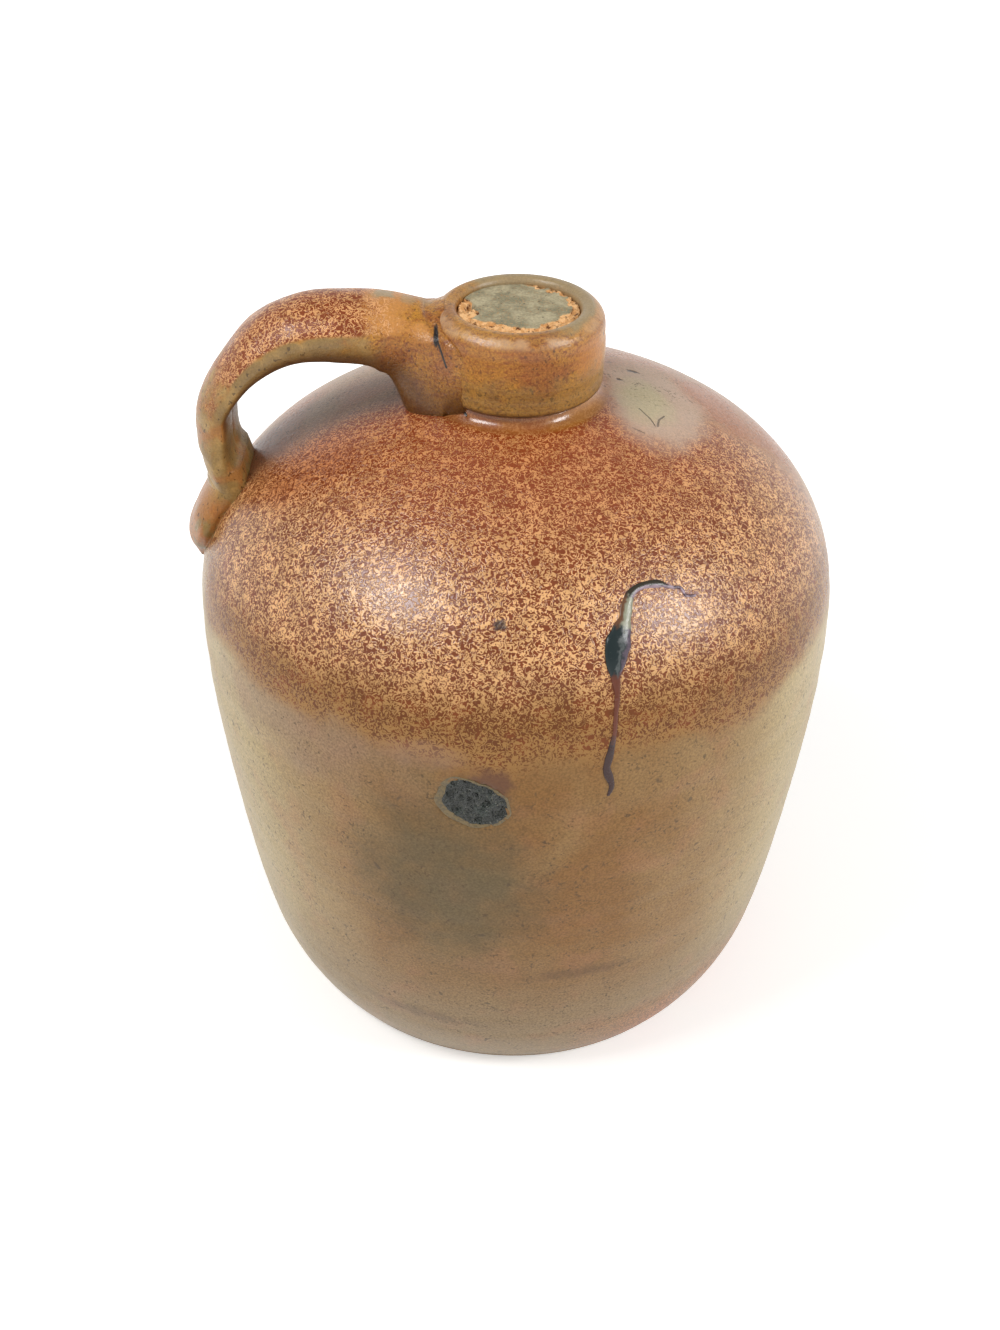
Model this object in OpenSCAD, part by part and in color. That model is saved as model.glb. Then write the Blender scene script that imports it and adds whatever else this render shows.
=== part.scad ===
// Salt-glazed stoneware jug with a strap handle and a cork, in millimetres.
// +Z is up, the origin is the middle of the foot, and the handle points along -X.

/* [Body] */
// Widest diameter of the thrown body
belly_d = 190; // [170:1:220]
// Height of the widest place
belly_z = 117; // [100:1:130]
// Diameter of the flat foot
foot_d = 152; // [135:1:160]
// Height of the shoulder's ledge
body_h = 199; // [185:1:215]
// Rise of the clay that sweeps up from the ledge to the collar's seat
seat_rise = 3.4; // [2.4:0.1:4.5]
// How far the wall leans in between the belly and the foot's curve
wall_lean = 10.7; // [8:0.1:14]
// Thickness of the wall
wall = 7.5; // [6:0.5:9]
// Thickness of the floor
floor_t = 9; // [7:0.5:12]
// Radius of the ledge round the collar's foot
ledge_r = 26; // [25.5:0.5:31]

/* [Collar] */
// Diameter of the collar round the mouth
collar_d = 48.2; // [45.6:0.2:50]
// Height of the collar above its seat
collar_h = 22.4; // [18.4:0.5:27.4]
// Diameter of the collar's drawn-in foot
collar_foot_d = 43.2; // [40.2:0.5:44.7]
// Height over which the collar's foot is drawn in
collar_foot_h = 4; // [2.5:0.25:6]
// Radius of the rounded outer edge of the lip
lip_round = 4.4; // [2.4:0.1:4.8]
// Radius of the worn inner edge of the mouth
mouth_round = 1.6; // [0.8:0.1:1.9]
// Diameter of the mouth at its top
mouth_d = 33.6; // [32.2:0.2:34.6]
// Diameter of the throat under the collar
throat_d = 31.8; // [29.6:0.2:32.2]

/* [Handle] */
// Width of the strap
strap_w = 27.5; // [22:0.5:32]
// Rise of the strap's crown above its edges
strap_crown = 9.2; // [7:0.2:11]
// Depth of the strap's underside below its edges
strap_under = 3.9; // [3:0.1:5]
// Width of the strap where it joins the collar
root_w = 22; // [18:0.5:26]
// Drop of the strap's middle line below the rim at the collar
root_drop = 11.3; // [10.3:0.5:13.8]
// Height of the thumb press below the ledge
press_drop = 26; // [22:0.5:30]
// Thickness of the clay under the thumb press
press_t = 9.4; // [7.6:0.2:11]
// Width of the strap at the thumb press
press_w = 27; // [23:0.5:31]
// Length of the tail below the thumb press
tail_l = 25; // [21.5:0.5:28.5]
// Thickness of the rounded tail
tail_t = 6.6; // [5.4:0.2:9]
// Width of the rounded tail
tail_w = 33; // [28:0.5:37]

/* [Cork] */
// Length of the cork
cork_l = 27.6; // [23.6:0.5:29.6]
// Depth of the cork's top below the rim
cork_sink = 1.5; // [0.8:0.1:3]
// Gap between the cork and the mouth
cork_gap = 0.2; // [0.1:0.05:0.3]
// Width of the broken rim on the front of the cork
chip_w = 3.2; // [2:0.2:5]
// Depth of the broken rim
chip_depth = 1.3; // [0.8:0.1:2]

/* [Kiln marks] */
// Width of the glaze drip at its heavy drop
drip_w = 6.2; // [4:0.2:8]
// Height of the glaze drip above the wall
drip_t = 1.3; // [0.8:0.1:2]
// Length of the popped stone's pit
pit_l = 18.5; // [14:0.5:22]
// Width of the pit
pit_w = 11.5; // [9:0.5:13]
// Depth of the pit
pit_depth = 2.2; // [1.6:0.1:3]
// How far the stone lies below the wall's face
stone_sink = 0.8; // [0.5:0.1:1.2]
// Height of the pit's middle
pit_z = 130; // [124:1:136]

/* [Hidden] */
$fn = 96;
fine = 360;
overrun = 5;
glaze_colour = "#a8693d";
collar_colour = "#a97c45";
handle_colour = "#b07f4c";
cork_colour = "#8c8068";
drip_colour = "#3a2b2c";
stone_colour = "#2c2e2a";

belly_r = belly_d / 2;
foot_r = foot_d / 2;
collar_r = collar_d / 2;
mouth_r = mouth_d / 2;
throat_r = throat_d / 2;
seat_r = collar_foot_d / 2;
seat_z = body_h + seat_rise;
rim_z = seat_z + collar_h;
shoulder_h = body_h - belly_z;
// The wall leans in gently, then tucks under quickly at the foot.
lean_power = 1.46;
tuck_power = 9.2;
// The shoulder is a superellipse that turns flat at the ledge.
shoulder_rise_power = 3.7;
shoulder_turn_power = 0.85;
wall_steps = 30;
shoulder_steps = 34;

// Outer radius of the body at height z, up to the ledge.
function body_r(z) =
    z <= belly_z
    ? let (u = (belly_z - z) / belly_z)
      belly_r - wall_lean * pow(u, lean_power)
              - (belly_r - wall_lean - foot_r) * pow(u, tuck_power)
    : let (s = min(1, (z - belly_z) / shoulder_h))
      ledge_r + (belly_r - ledge_r)
              * pow(max(0, 1 - pow(s, shoulder_rise_power)), shoulder_turn_power);

// Heights of the outline's points, closer together at the foot and at the ledge.
wall_heights = [for (i = [0 : wall_steps - 1]) belly_z * pow(i / wall_steps, 1.5)];
shoulder_heights = [for (i = [0 : shoulder_steps])
    body_h - shoulder_h * pow(1 - i / shoulder_steps, 1.8)];
outer_points = [for (z = concat(wall_heights, shoulder_heights)) [body_r(z), z]];

// The clay sweeps up from the ledge in a hollow curve and meets the collar upright.
sweep_steps = 8;
sweep_points = [for (i = [1 : sweep_steps])
    let (a = 90 * i / sweep_steps)
    [ledge_r - (ledge_r - seat_r) * sin(a), seat_z - seat_rise * cos(a)]];

// Unit vector out of an outline at point i, square to its neighbours.
function outward(points, i) =
    let (a = points[max(0, i - 1)],
         b = points[min(len(points) - 1, i + 1)],
         d = (b - a) / norm(b - a))
    [d[1], -d[0]];

// The outline moved in by a depth, kept between two heights.
function inset_points(depth, low, high) =
    [for (i = [0 : len(outer_points) - 1])
        let (p = outer_points[i] - depth * outward(outer_points, i))
        if (p[1] > low && p[1] < high) p];

ceiling_z = body_h - wall;
inner_points = inset_points(wall, floor_t, ceiling_z);
inner_foot_r = inner_points[0][0];

module body_outline() {
    polygon(concat([[0, 0]], outer_points, sweep_points, [[0, seat_z]]));
}

module body_form() {
    rotate_extrude($fn = fine) body_outline();
}

module cavity() {
    rotate_extrude($fn = fine)
        polygon(concat(
            [[0, floor_t], [inner_foot_r, floor_t]],
            inner_points,
            [[throat_r, ceiling_z], [throat_r, seat_z + overrun], [0, seat_z + overrun]]));
}

// Points of a quarter circle from one angle to another.
arc_steps = 8;
function arc(centre, radius, from, to) =
    [for (i = [0 : arc_steps])
        let (a = from + (to - from) * i / arc_steps)
        centre + radius * [cos(a), sin(a)]];

module collar_outline(inner_r) {
    foot_curve = [for (i = [0 : arc_steps])
        let (a = 90 * i / arc_steps)
        [collar_r - (collar_r - seat_r) * (1 - sin(a)),
         seat_z + collar_foot_h * (1 - cos(a))]];
    lip = arc([collar_r - lip_round, rim_z - lip_round], lip_round, 0, 90);
    mouth = arc([mouth_r + mouth_round, rim_z - mouth_round], mouth_round, 90, 180);
    polygon(inner_r == 0
        ? concat([[0, seat_z]], foot_curve, lip, [[0, rim_z]])
        : concat([[inner_r, seat_z]], foot_curve, lip, mouth));
}

module collar_form() {
    rotate_extrude($fn = fine) collar_outline(0);
}

// The pit is cut by a spheroid that lies along the wall, centred outside it.
pit_azimuth = -98;
pit_turn = 24;
pit_short_r = (pow(pit_w / 2, 2) + pow(pit_depth, 2)) / (2 * pit_depth);
pit_long_r = pit_short_r * pit_l / pit_w;
module pit_form() {
    turn_steps = 36;
    rotate([0, 0, pit_azimuth])
        translate([body_r(pit_z) - pit_depth + pit_short_r, 0, pit_z])
            rotate([-90 + pit_turn, 0, 0])
                rotate_extrude($fn = fine)
                    polygon([for (i = [0 : turn_steps])
                        let (a = -90 + 180 * i / turn_steps)
                        [pit_short_r * cos(a), pit_long_r * sin(a)]]);
}

module thrown_body() {
    color(glaze_colour)
        difference() {
            body_form();
            cavity();
            pit_form();
        }
}

module neck_collar() {
    color(collar_colour)
        rotate_extrude($fn = fine) collar_outline(throat_r);
}

// The strap's line runs from inside the collar, over the arch, to the thumb press and
// down the tail. A row holds x, z, half the width, the crown and the underside.
press_z = body_h - press_drop;
press_x = body_r(press_z);
collar_z = rim_z - root_drop;
embed = wall / 2;
// Places near the collar: along, up, then shares of the root's width, crown and depth.
root_shares = [[-0.144, 0, 1, 0.98, 1], [0.007, 0.011, 1, 1.02, 1], [0.038, 0.044, 1.02, 1.06, 1.55]];
// Places on the arch: along, up, then shares of the strap's width, crown and underside.
arch_shares = [
    [0.142, 0.083, 0.84, 1.07, 3.10], [0.225, 0.110, 0.88, 1.07, 2.50], [0.321, 0.115, 0.95, 1.05, 1.94],
    [0.485, 0.119, 1.00, 1.04, 1.64], [0.640, 0.082, 1.00, 1.02, 1.40], [0.780, -0.024, 1.00, 0.99, 1.00],
    [0.904, -0.185, 1.00, 0.89, 0.65], [1.001, -0.396, 1.00, 0.92, 0.37], [1.012, -0.520, 1.00, 1.00, 0.28],
    [1.028, -0.727, 1.00, 0.95, 0.45], [1.037, -0.839, 1.00, 0.76, 1.22]];
// Places down the tail: along, then shares of its width and thickness.
tail_shares = [[0.22, 0.9, 0.95], [0.45, 1, 0.88], [0.7, 0.74, 0.9], [0.9, 0.42, 0.55], [1.02, 0.28, 0.2]];
arch_span = press_x - collar_r;
arch_drop = collar_z - press_z;
strap_line = concat(
    [for (s = root_shares)
        [collar_r + arch_span * s[0], collar_z + arch_drop * s[1],
         root_w / 2 * s[2], strap_crown * s[3], (collar_z - body_h + embed) * s[4]]],
    [for (s = arch_shares)
        [collar_r + arch_span * s[0], collar_z + arch_drop * s[1],
         strap_w / 2 * s[2], strap_crown * s[3], strap_under * s[4]]],
    [[press_x, press_z, press_w / 2, press_t, embed]],
    [for (s = tail_shares)
        let (z = press_z - tail_l * s[0])
        [body_r(z), z, tail_w / 2 * s[1], tail_t * s[2], embed]]);

// A smooth curve through a list of rows, at parameter u in row numbers.
function through(rows, u) =
    let (n = len(rows) - 1,
         i = min(n - 1, floor(u)),
         t = u - i,
         a = rows[max(0, i - 1)], b = rows[i], c = rows[i + 1], d = rows[min(n, i + 2)])
    0.5 * (2 * b + (c - a) * t + (2 * a - 5 * b + 4 * c - d) * t * t
           + (3 * b - a - 3 * c + d) * t * t * t);

rings_per_span = 3;
strap_sides = 28;
// Roundness of the strap's section: 1 is an ellipse and less is squarer.
edge_power = 0.82;
function signed_pow(v, p) = sign(v) * pow(abs(v), p);
// The rings stand upright at the collar and turn square to the line over this many rows.
turn_rows = 2;
function strap_ring(u) =
    let (here = through(strap_line, u),
         step = 0.01,
         back = through(strap_line, max(0, u - step)),
         on = through(strap_line, min(len(strap_line) - 1, u + step)),
         turn = min(1, max(0, (u - len(root_shares) + 1) / turn_rows)),
         run = [on[0] - back[0], turn * (on[1] - back[1])],
         up = [-run[1], run[0]] / norm(run))
    [for (k = [0 : strap_sides - 1])
        let (a = 360 * k / strap_sides,
             side = here[2] * signed_pow(cos(a), edge_power),
             lift = (sin(a) > 0 ? here[3] : here[4]) * signed_pow(sin(a), edge_power))
        [-(here[0] + up[0] * lift), side, here[1] + up[1] * lift]];

// Triangles that skin a stack of rings and close both ends.
function skin_faces(rings, sides) = concat(
    [for (i = [0 : rings - 2], k = [0 : sides - 1])
        let (m = (k + 1) % sides)
        [i * sides + k, i * sides + m, (i + 1) * sides + k]],
    [for (i = [0 : rings - 2], k = [0 : sides - 1])
        let (m = (k + 1) % sides)
        [i * sides + m, (i + 1) * sides + m, (i + 1) * sides + k]],
    [for (k = [1 : sides - 2]) [0, k + 1, k]],
    [for (k = [1 : sides - 2])
        (rings - 1) * sides * [1, 1, 1] + [0, k, k + 1]]);

module strap_form() {
    ring_count = (len(strap_line) - 1) * rings_per_span + 1;
    rings = [for (i = [0 : ring_count - 1]) strap_ring(i / rings_per_span)];
    polyhedron([for (ring = rings, p = ring) p], skin_faces(ring_count, strap_sides));
}

module strap_handle() {
    color(handle_colour)
        difference() {
            strap_form();
            body_form();
            collar_form();
        }
}

// The cork follows the taper of the mouth, a small gap inside it.
cork_top_z = rim_z - cork_sink;
cork_foot_z = cork_top_z - cork_l;
function mouth_r_at(z) =
    throat_r + (mouth_r - throat_r) * min(1, max(0, (z - seat_z) / (collar_h - mouth_round)));
module cork_stopper() {
    color(cork_colour)
        difference() {
            rotate_extrude()
                polygon([
                    [0, cork_foot_z],
                    [throat_r - cork_gap - chip_depth, cork_foot_z],
                    [throat_r - cork_gap, cork_foot_z + chip_depth],
                    [throat_r - cork_gap, seat_z],
                    [mouth_r_at(cork_top_z) - cork_gap, min(cork_top_z, rim_z - mouth_round)],
                    [mouth_r_at(cork_top_z) - cork_gap, cork_top_z],
                    [0, cork_top_z]]);
            // The broken rim is the crescent outside a cylinder set back from the front.
            difference() {
                translate([0, 0, cork_top_z - chip_depth])
                    cylinder(r = collar_r, h = chip_depth + overrun);
                translate([0, chip_w, cork_top_z - chip_depth - overrun])
                    cylinder(r = mouth_r, h = chip_depth + overrun * 3);
            }
        }
}

// The drip's line as azimuth in degrees and height as a share of the shoulder above
// the belly, then shares of its width and of its height above the wall.
drip_shares = [
    [-57.6, 0.690, 0.10, 0.15], [-58.8, 0.722, 0.36, 0.34], [-60.2, 0.742, 0.46, 0.42],
    [-63.3, 0.760, 0.40, 0.42], [-66.8, 0.757, 0.34, 0.38], [-70.0, 0.740, 0.36, 0.40],
    [-72.4, 0.692, 0.62, 0.62], [-74.2, 0.645, 0.98, 1.00], [-75.2, 0.590, 0.86, 0.96],
    [-75.6, 0.535, 0.44, 0.56], [-76.0, 0.445, 0.26, 0.40], [-76.8, 0.365, 0.30, 0.40],
    [-77.5, 0.270, 0.42, 0.44], [-77.0, 0.195, 0.38, 0.40], [-76.6, 0.168, 0.10, 0.12]];
drip_sides = 10;
drip_rings_per_span = 2;
drip_embed = drip_t / 2;
slope_step = wall / 15;
function on_wall(azimuth, z, lift) =
    let (slope = (body_r(z + slope_step) - body_r(z - slope_step)) / (2 * slope_step),
         out = [1, -slope] / norm([1, -slope]),
         r = body_r(z) + out[0] * lift)
    [r * cos(azimuth), r * sin(azimuth), z + out[1] * lift];
function drip_ring(u) =
    let (here = through(drip_shares, u),
         step = 0.02,
         back = through(drip_shares, max(0, u - step)),
         on = through(drip_shares, min(len(drip_shares) - 1, u + step)),
         z = belly_z + shoulder_h * here[1],
         centre = on_wall(here[0], z, 0),
         away = on_wall(here[0], z, 1) - centre,
         run = on_wall(on[0], belly_z + shoulder_h * on[1], 0)
             - on_wall(back[0], belly_z + shoulder_h * back[1], 0),
         side = cross(away, run / norm(run)))
    [for (k = [0 : drip_sides - 1])
        let (a = 360 * k / drip_sides,
             lift = sin(a) > 0 ? drip_t * here[3] : drip_embed)
        centre + side * (drip_w / 2 * here[2] * cos(a)) + away * (lift * sin(a))];

module drip_form() {
    ring_count = (len(drip_shares) - 1) * drip_rings_per_span + 1;
    rings = [for (i = [0 : ring_count - 1]) drip_ring(i / drip_rings_per_span)];
    polyhedron([for (ring = rings, p = ring) p], skin_faces(ring_count, drip_sides));
}

module kiln_drip() {
    color(drip_colour)
        difference() {
            drip_form();
            body_form();
        }
}

// Heights that bound the stone's face, well past the pit both ways.
stone_low_z = pit_z - pit_l;
stone_high_z = pit_z + pit_l;
module stone_inclusion() {
    color(stone_colour)
        intersection() {
            pit_form();
            rotate_extrude($fn = fine)
                polygon(concat([[0, stone_low_z]],
                    inset_points(stone_sink, stone_low_z, stone_high_z),
                    [[0, stone_high_z]]));
        }
}

thrown_body();
neck_collar();
strap_handle();
cork_stopper();
kiln_drip();
stone_inclusion();
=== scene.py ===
import math
from functools import reduce

import bpy
import numpy as np
from bpy.props import FloatProperty, FloatVectorProperty, IntProperty, PointerProperty
from mathutils import Matrix, Vector
from mathutils.bvhtree import BVHTree


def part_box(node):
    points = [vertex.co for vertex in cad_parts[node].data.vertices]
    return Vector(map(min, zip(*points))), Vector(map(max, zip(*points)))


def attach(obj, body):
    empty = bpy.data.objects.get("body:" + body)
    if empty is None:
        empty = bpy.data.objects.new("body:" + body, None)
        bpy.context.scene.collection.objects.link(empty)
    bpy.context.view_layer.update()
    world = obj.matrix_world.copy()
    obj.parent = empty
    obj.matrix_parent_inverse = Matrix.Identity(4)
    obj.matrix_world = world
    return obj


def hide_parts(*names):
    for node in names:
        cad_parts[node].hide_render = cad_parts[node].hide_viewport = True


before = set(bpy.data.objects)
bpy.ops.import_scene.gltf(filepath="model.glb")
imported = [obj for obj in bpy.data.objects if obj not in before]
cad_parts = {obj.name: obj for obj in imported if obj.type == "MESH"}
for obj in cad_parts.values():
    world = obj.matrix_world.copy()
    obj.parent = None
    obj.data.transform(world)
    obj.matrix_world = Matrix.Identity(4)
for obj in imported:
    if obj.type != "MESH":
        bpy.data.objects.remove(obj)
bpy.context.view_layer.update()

bl_info = {
    "name": "Stoneware jug",
    "version": (1, 0, 0),
    "blender": (4, 5, 0),
    "location": "3D View > Sidebar > Jug",
    "description": "Throws, glazes and corks a stoneware jug round its packed solids",
    "category": "Add Mesh",
}

MM = 0.001

_, body_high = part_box("thrown_body")
_, collar_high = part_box("neck_collar")
cork_low, cork_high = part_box("cork_stopper")
BELLY_R = body_high.x
SEAT_Z = body_high.z
COLLAR_R = collar_high.x
RIM_Z = collar_high.z
CORK_TOP_Z = cork_high.z
CORK_FOOT_Z = cork_low.z


def linear(code):
    """A colour written as a hex code, as the linear values that a shader reads."""
    values = [int(code[i:i + 2], 16) / 255 for i in (1, 3, 5)]
    return tuple(v / 12.92 if v <= 0.04045 else ((v + 0.055) / 1.055) ** 2.4 for v in values)


def size_property(name, value, description):
    return FloatProperty(name=name, default=value, description=description, unit="LENGTH", precision=5)


def colour_property(name, code, description):
    return FloatVectorProperty(name=name, default=linear(code), description=description,
                               subtype="COLOR", size=3, min=0.0, max=1.0)


class ThrownBodySizes(bpy.types.PropertyGroup):
    """Sizes of the thrown body, as the potter would measure it."""
    belly_r: size_property("Belly radius", BELLY_R, "Widest radius of the wall")
    belly_z: size_property("Belly height", 117 * MM, "Height of the widest place")
    foot_r: size_property("Foot radius", 76 * MM, "Radius of the flat foot")
    ledge_r: size_property("Ledge radius", 26 * MM, "Radius of the ledge round the collar")
    ledge_z: size_property("Ledge height", 199 * MM, "Height of the ledge")
    seat_r: size_property("Seat radius", 21.6 * MM, "Radius of the seat that the collar stands on")
    wall_lean: size_property("Wall lean", 10.7 * MM, "How far the wall leans in above the foot")
    wall: size_property("Wall", 7.5 * MM, "Thickness of the wall")
    floor: size_property("Floor", 9 * MM, "Thickness of the floor")
    throat_r: size_property("Throat radius", 15.9 * MM, "Radius of the throat")
    ring_depth: size_property("Ring depth", 0.32 * MM, "Depth of the throwing rings")
    ring_pitch: size_property("Ring pitch", 7 * MM, "Distance between throwing rings")
    wobble: size_property("Wobble", 0.45 * MM, "How far the wall strays from round")
    turns: IntProperty(name="Segments", default=320, min=24, description="Faces round the body")


class CollarSizes(bpy.types.PropertyGroup):
    """Sizes of the collar round the mouth."""
    foot_h: size_property("Foot height", 4 * MM, "Height of the drawn-in foot")
    lip_round: size_property("Lip round", 4.4 * MM, "Radius of the outer edge of the lip")
    mouth_round: size_property("Mouth round", 1.6 * MM, "Radius of the inner edge of the mouth")
    mouth_r: size_property("Mouth radius", 16.8 * MM, "Radius of the mouth at its top")
    hollow: size_property("Hollow", 0.14 * MM, "Depth of the shallow hollows in the collar's wall")
    belly: size_property("Belly", 0.8 * MM, "How far the collar's wall curves in at its top and foot")


class HandleSizes(bpy.types.PropertyGroup):
    """Sizes of the pulled strap handle."""
    strap_w: size_property("Strap width", 27.5 * MM, "Width of the strap")
    crown: size_property("Crown", 9.2 * MM, "Rise of the crown above the strap's line")
    under: size_property("Underside", 3.9 * MM, "Depth of the underside below the strap's line")
    root_w: size_property("Root width", 22 * MM, "Width where the strap joins the collar")
    root_drop: size_property("Root drop", 11.3 * MM, "Drop of the strap's line below the rim")
    press_drop: size_property("Press drop", 26 * MM, "Height of the thumb press below the ledge")
    press_t: size_property("Press thickness", 9.4 * MM, "Thickness of the clay under the press")
    press_w: size_property("Press width", 27 * MM, "Width of the strap at the press")
    tail_l: size_property("Tail length", 25 * MM, "Length of the tail below the press")
    tail_t: size_property("Tail thickness", 6.6 * MM, "Thickness of the rounded tail")
    tail_w: size_property("Tail width", 33 * MM, "Width of the rounded tail")


class CorkSizes(bpy.types.PropertyGroup):
    """Sizes of the cork and of the crumbled rim that it was pulled by."""
    clearance: size_property("Clearance", 0.2 * MM, "Gap between the cork and the mouth")
    crumble_w: size_property("Crumbled width", 5.2 * MM, "Width of the broken rim at the front")
    crumble_depth: size_property("Crumbled depth", 1.0 * MM, "Depth of the broken rim")


class KilnMarkSizes(bpy.types.PropertyGroup):
    """Sizes of the marks that the kiln left."""
    drip_w: size_property("Drip width", 6.2 * MM, "Width of the heavy drop")
    drip_t: size_property("Drip height", 1.3 * MM, "Height of the heavy drop above the wall")
    pit_l: size_property("Pit length", 18.5 * MM, "Length of the popped stone's pit")
    pit_w: size_property("Pit width", 14 * MM, "Width of the pit")
    pit_depth: size_property("Pit depth", 2.2 * MM, "Depth of the pit")
    pit_z: size_property("Pit height", 130 * MM, "Height of the pit's middle")


class GlazeColours(bpy.types.PropertyGroup):
    """Colours of the clay, the salt glaze and what stained them."""
    iron_top: colour_property("Iron, top", "#8b3f19", "Dark mottle near the collar")
    iron_mid: colour_property("Iron, shoulder", "#783812", "Dark mottle on the shoulder")
    iron_low: colour_property("Iron, edge", "#6c3c17", "Dark mottle at the band's lower edge")
    iron_red: colour_property("Iron, red", "#93471f", "Redder places in the dark mottle")
    salt_top: colour_property("Salt, top", "#d18e58", "Light mottle near the collar")
    salt_mid: colour_property("Salt, shoulder", "#ecb67b", "Light mottle on the shoulder")
    salt_low: colour_property("Salt, edge", "#a37742", "Light mottle at the band's lower edge")
    # The warm front and low wall colours are the clay's colour darkened with painted shade.
    wall_warm_shaded: colour_property("Wall, warm", "#8b6335", "Fired clay on the front of the wall")
    wall_grey: colour_property("Wall, grey", "#b59f72", "Fired clay on the sides of the wall")
    wall_low_shaded: colour_property("Wall, low", "#937d5c", "Fired clay near the foot")
    mauve: colour_property("Mauve", "#ae7655", "Clay that the kiln flashed mauve")
    stain: colour_property("Stain", "#665a40", "Grey-green stain under the stone")
    foot_red: colour_property("Red foot", "#743f22", "Red clay near the foot")
    foot_pale: colour_property("Pale red foot", "#c07d4e", "Pale flecks in the red clay near the foot")
    patch_ring: colour_property("Patch ring", "#c4aa94", "Tan ring of the bare patch on the shoulder")
    patch_mid: colour_property("Patch middle", "#c2b58d", "Grey-green middle of the bare patch")
    ochre: colour_property("Ochre", "#b57d2e", "Ochre glaze on the collar")
    ochre_red: colour_property("Red ochre", "#93572a", "Iron brushed over the ochre")
    amber: colour_property("Amber", "#c88a4a", "Clear orange glaze on the handle's root")
    rust: colour_property("Rust", "#a8672f", "Orange clouds on the handle's lower half")
    khaki: colour_property("Khaki", "#8c7142", "Thin glaze on the handle's sides")
    khaki_pale: colour_property("Pale khaki", "#ab8a52", "Paler glaze on the handle's sides")
    lip_worn: colour_property("Worn lip", "#9f8c69", "Grey-green bloom on the lip")
    # Painted highlight: the pale lip colour stands for light on the lip's rounded edge.
    lip_highlight: colour_property("Pale lip", "#d0aa80", "Edge of the lip where hands rubbed it")
    slip: colour_property("Slip", "#4a2c1c", "Dark slip inside the jug")
    bare_clay: colour_property("Bare clay", "#b39c7c", "Unglazed clay under the foot")
    cork_grime: colour_property("Cork grime", "#878166", "Grime on the cork's top")
    cork_grey: colour_property("Grey cork", "#b0a484", "Grey bloom on the cork's top")
    cork_tan: colour_property("Tan cork", "#b08a5c", "Cork that shows through the grime")
    cork_fresh: colour_property("Broken cork", "#d39a5e", "Cork where its rim broke")
    cork_bright: colour_property("Bright cork", "#f0bf86", "Palest crumbs of the broken rim")
    kiln_dark: colour_property("Kiln glass", "#263031", "Thick dark glass")
    kiln_thin: colour_property("Thin kiln glass", "#6a3826", "Thin brown glass")
    stone_dark: colour_property("Stone", "#1f221c", "Dark glassy stone")


def share_between(value, low, high):
    """How far a value is from low to high, eased at both ends and kept from 0 to 1."""
    t = np.clip((value - low) / (high - low), 0, 1)
    return t * t * (3 - 2 * t)


def normalised(ways):
    """Vectors, each brought to a length of one."""
    return ways / np.linalg.norm(ways, axis=-1, keepdims=True)


def lumps(points, size, seed, waves=28):
    """Smooth random relief at some points, mostly from -1 to 1, with bumps of about one size."""
    rng = np.random.default_rng(seed)
    ways = normalised(rng.normal(size=(waves, 3)))
    ways *= 2 * np.pi / size * rng.uniform(0.6, 1.5, (waves, 1))
    phases = rng.uniform(0, 2 * np.pi, waves)
    return np.sin(points @ ways.T + phases).sum(1) * math.sqrt(1 / waves)


def wall_r(z, sizes):
    """Outer radius of the body at height z, by the same rule as the solid."""
    z = np.asarray(z, float)
    lean_power, tuck_power, rise_power, turn_power = 1.46, 9.2, 3.7, 0.85
    u = np.clip((sizes.belly_z - z) / sizes.belly_z, 0, 1)
    tuck = sizes.belly_r - sizes.wall_lean - sizes.foot_r
    low = sizes.belly_r - sizes.wall_lean * u ** lean_power - tuck * u ** tuck_power
    s = np.clip((z - sizes.belly_z) / (sizes.ledge_z - sizes.belly_z), 0, 1)
    turn = (1 - s ** rise_power) ** turn_power
    high = sizes.ledge_r + (sizes.belly_r - sizes.ledge_r) * turn
    return np.where(z <= sizes.belly_z, low, high)


def on_wall(azimuth, z, sizes):
    """A point on the wall and the unit vectors out of it, round it and up it there."""
    step = 0.2 * MM
    slope = float(wall_r(z + step, sizes) - wall_r(z - step, sizes)) / (2 * step)
    a = math.radians(azimuth)
    r = float(wall_r(z, sizes))
    out = normalised(np.array([math.cos(a), math.sin(a), -slope]))
    around = np.array([-math.sin(a), math.cos(a), 0.0])
    return np.array([r * math.cos(a), r * math.sin(a), z]), out, around, np.cross(out, around)


def spaced(points, gap):
    """The points of a line, spread again about one gap apart."""
    points = np.asarray(points, float)
    lengths = np.concatenate([[0], np.cumsum(np.linalg.norm(np.diff(points, axis=0), axis=1))])
    count = max(2, int(round(lengths[-1] / gap)) + 1)
    at = np.linspace(0, lengths[-1], count)
    return np.column_stack([np.interp(at, lengths, points[:, i]) for i in range(points.shape[1])])


def rounded(centre, radius, start, end, count=9):
    """Points of an arc from one angle to another, in degrees."""
    a = np.radians(np.linspace(start, end, count))
    return np.column_stack([centre[0] + radius * np.cos(a), centre[1] + radius * np.sin(a)])


def new_object(name, mesh):
    piece = bpy.data.objects.new(name, mesh)
    bpy.context.scene.collection.objects.link(piece)
    return piece


def mark_points(mesh, label, values):
    """Keeps one number at each point of a mesh."""
    mesh.attributes.new(label, "FLOAT", "POINT").data.foreach_set("value", np.asarray(values, np.float32))


def mesh_object(name, points, faces, material, marks):
    """A smooth piece from its points and faces, with named numbers at each point."""
    mesh = bpy.data.meshes.new(name)
    mesh.from_pydata([tuple(p) for p in points], [], [tuple(f) for f in faces])
    mesh.validate()
    for label, values in marks.items():
        mark_points(mesh, label, values)
    mesh.materials.append(material)
    mesh.shade_smooth()
    mesh.update()
    face_outwards(mesh)
    return new_object(name, mesh)


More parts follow.
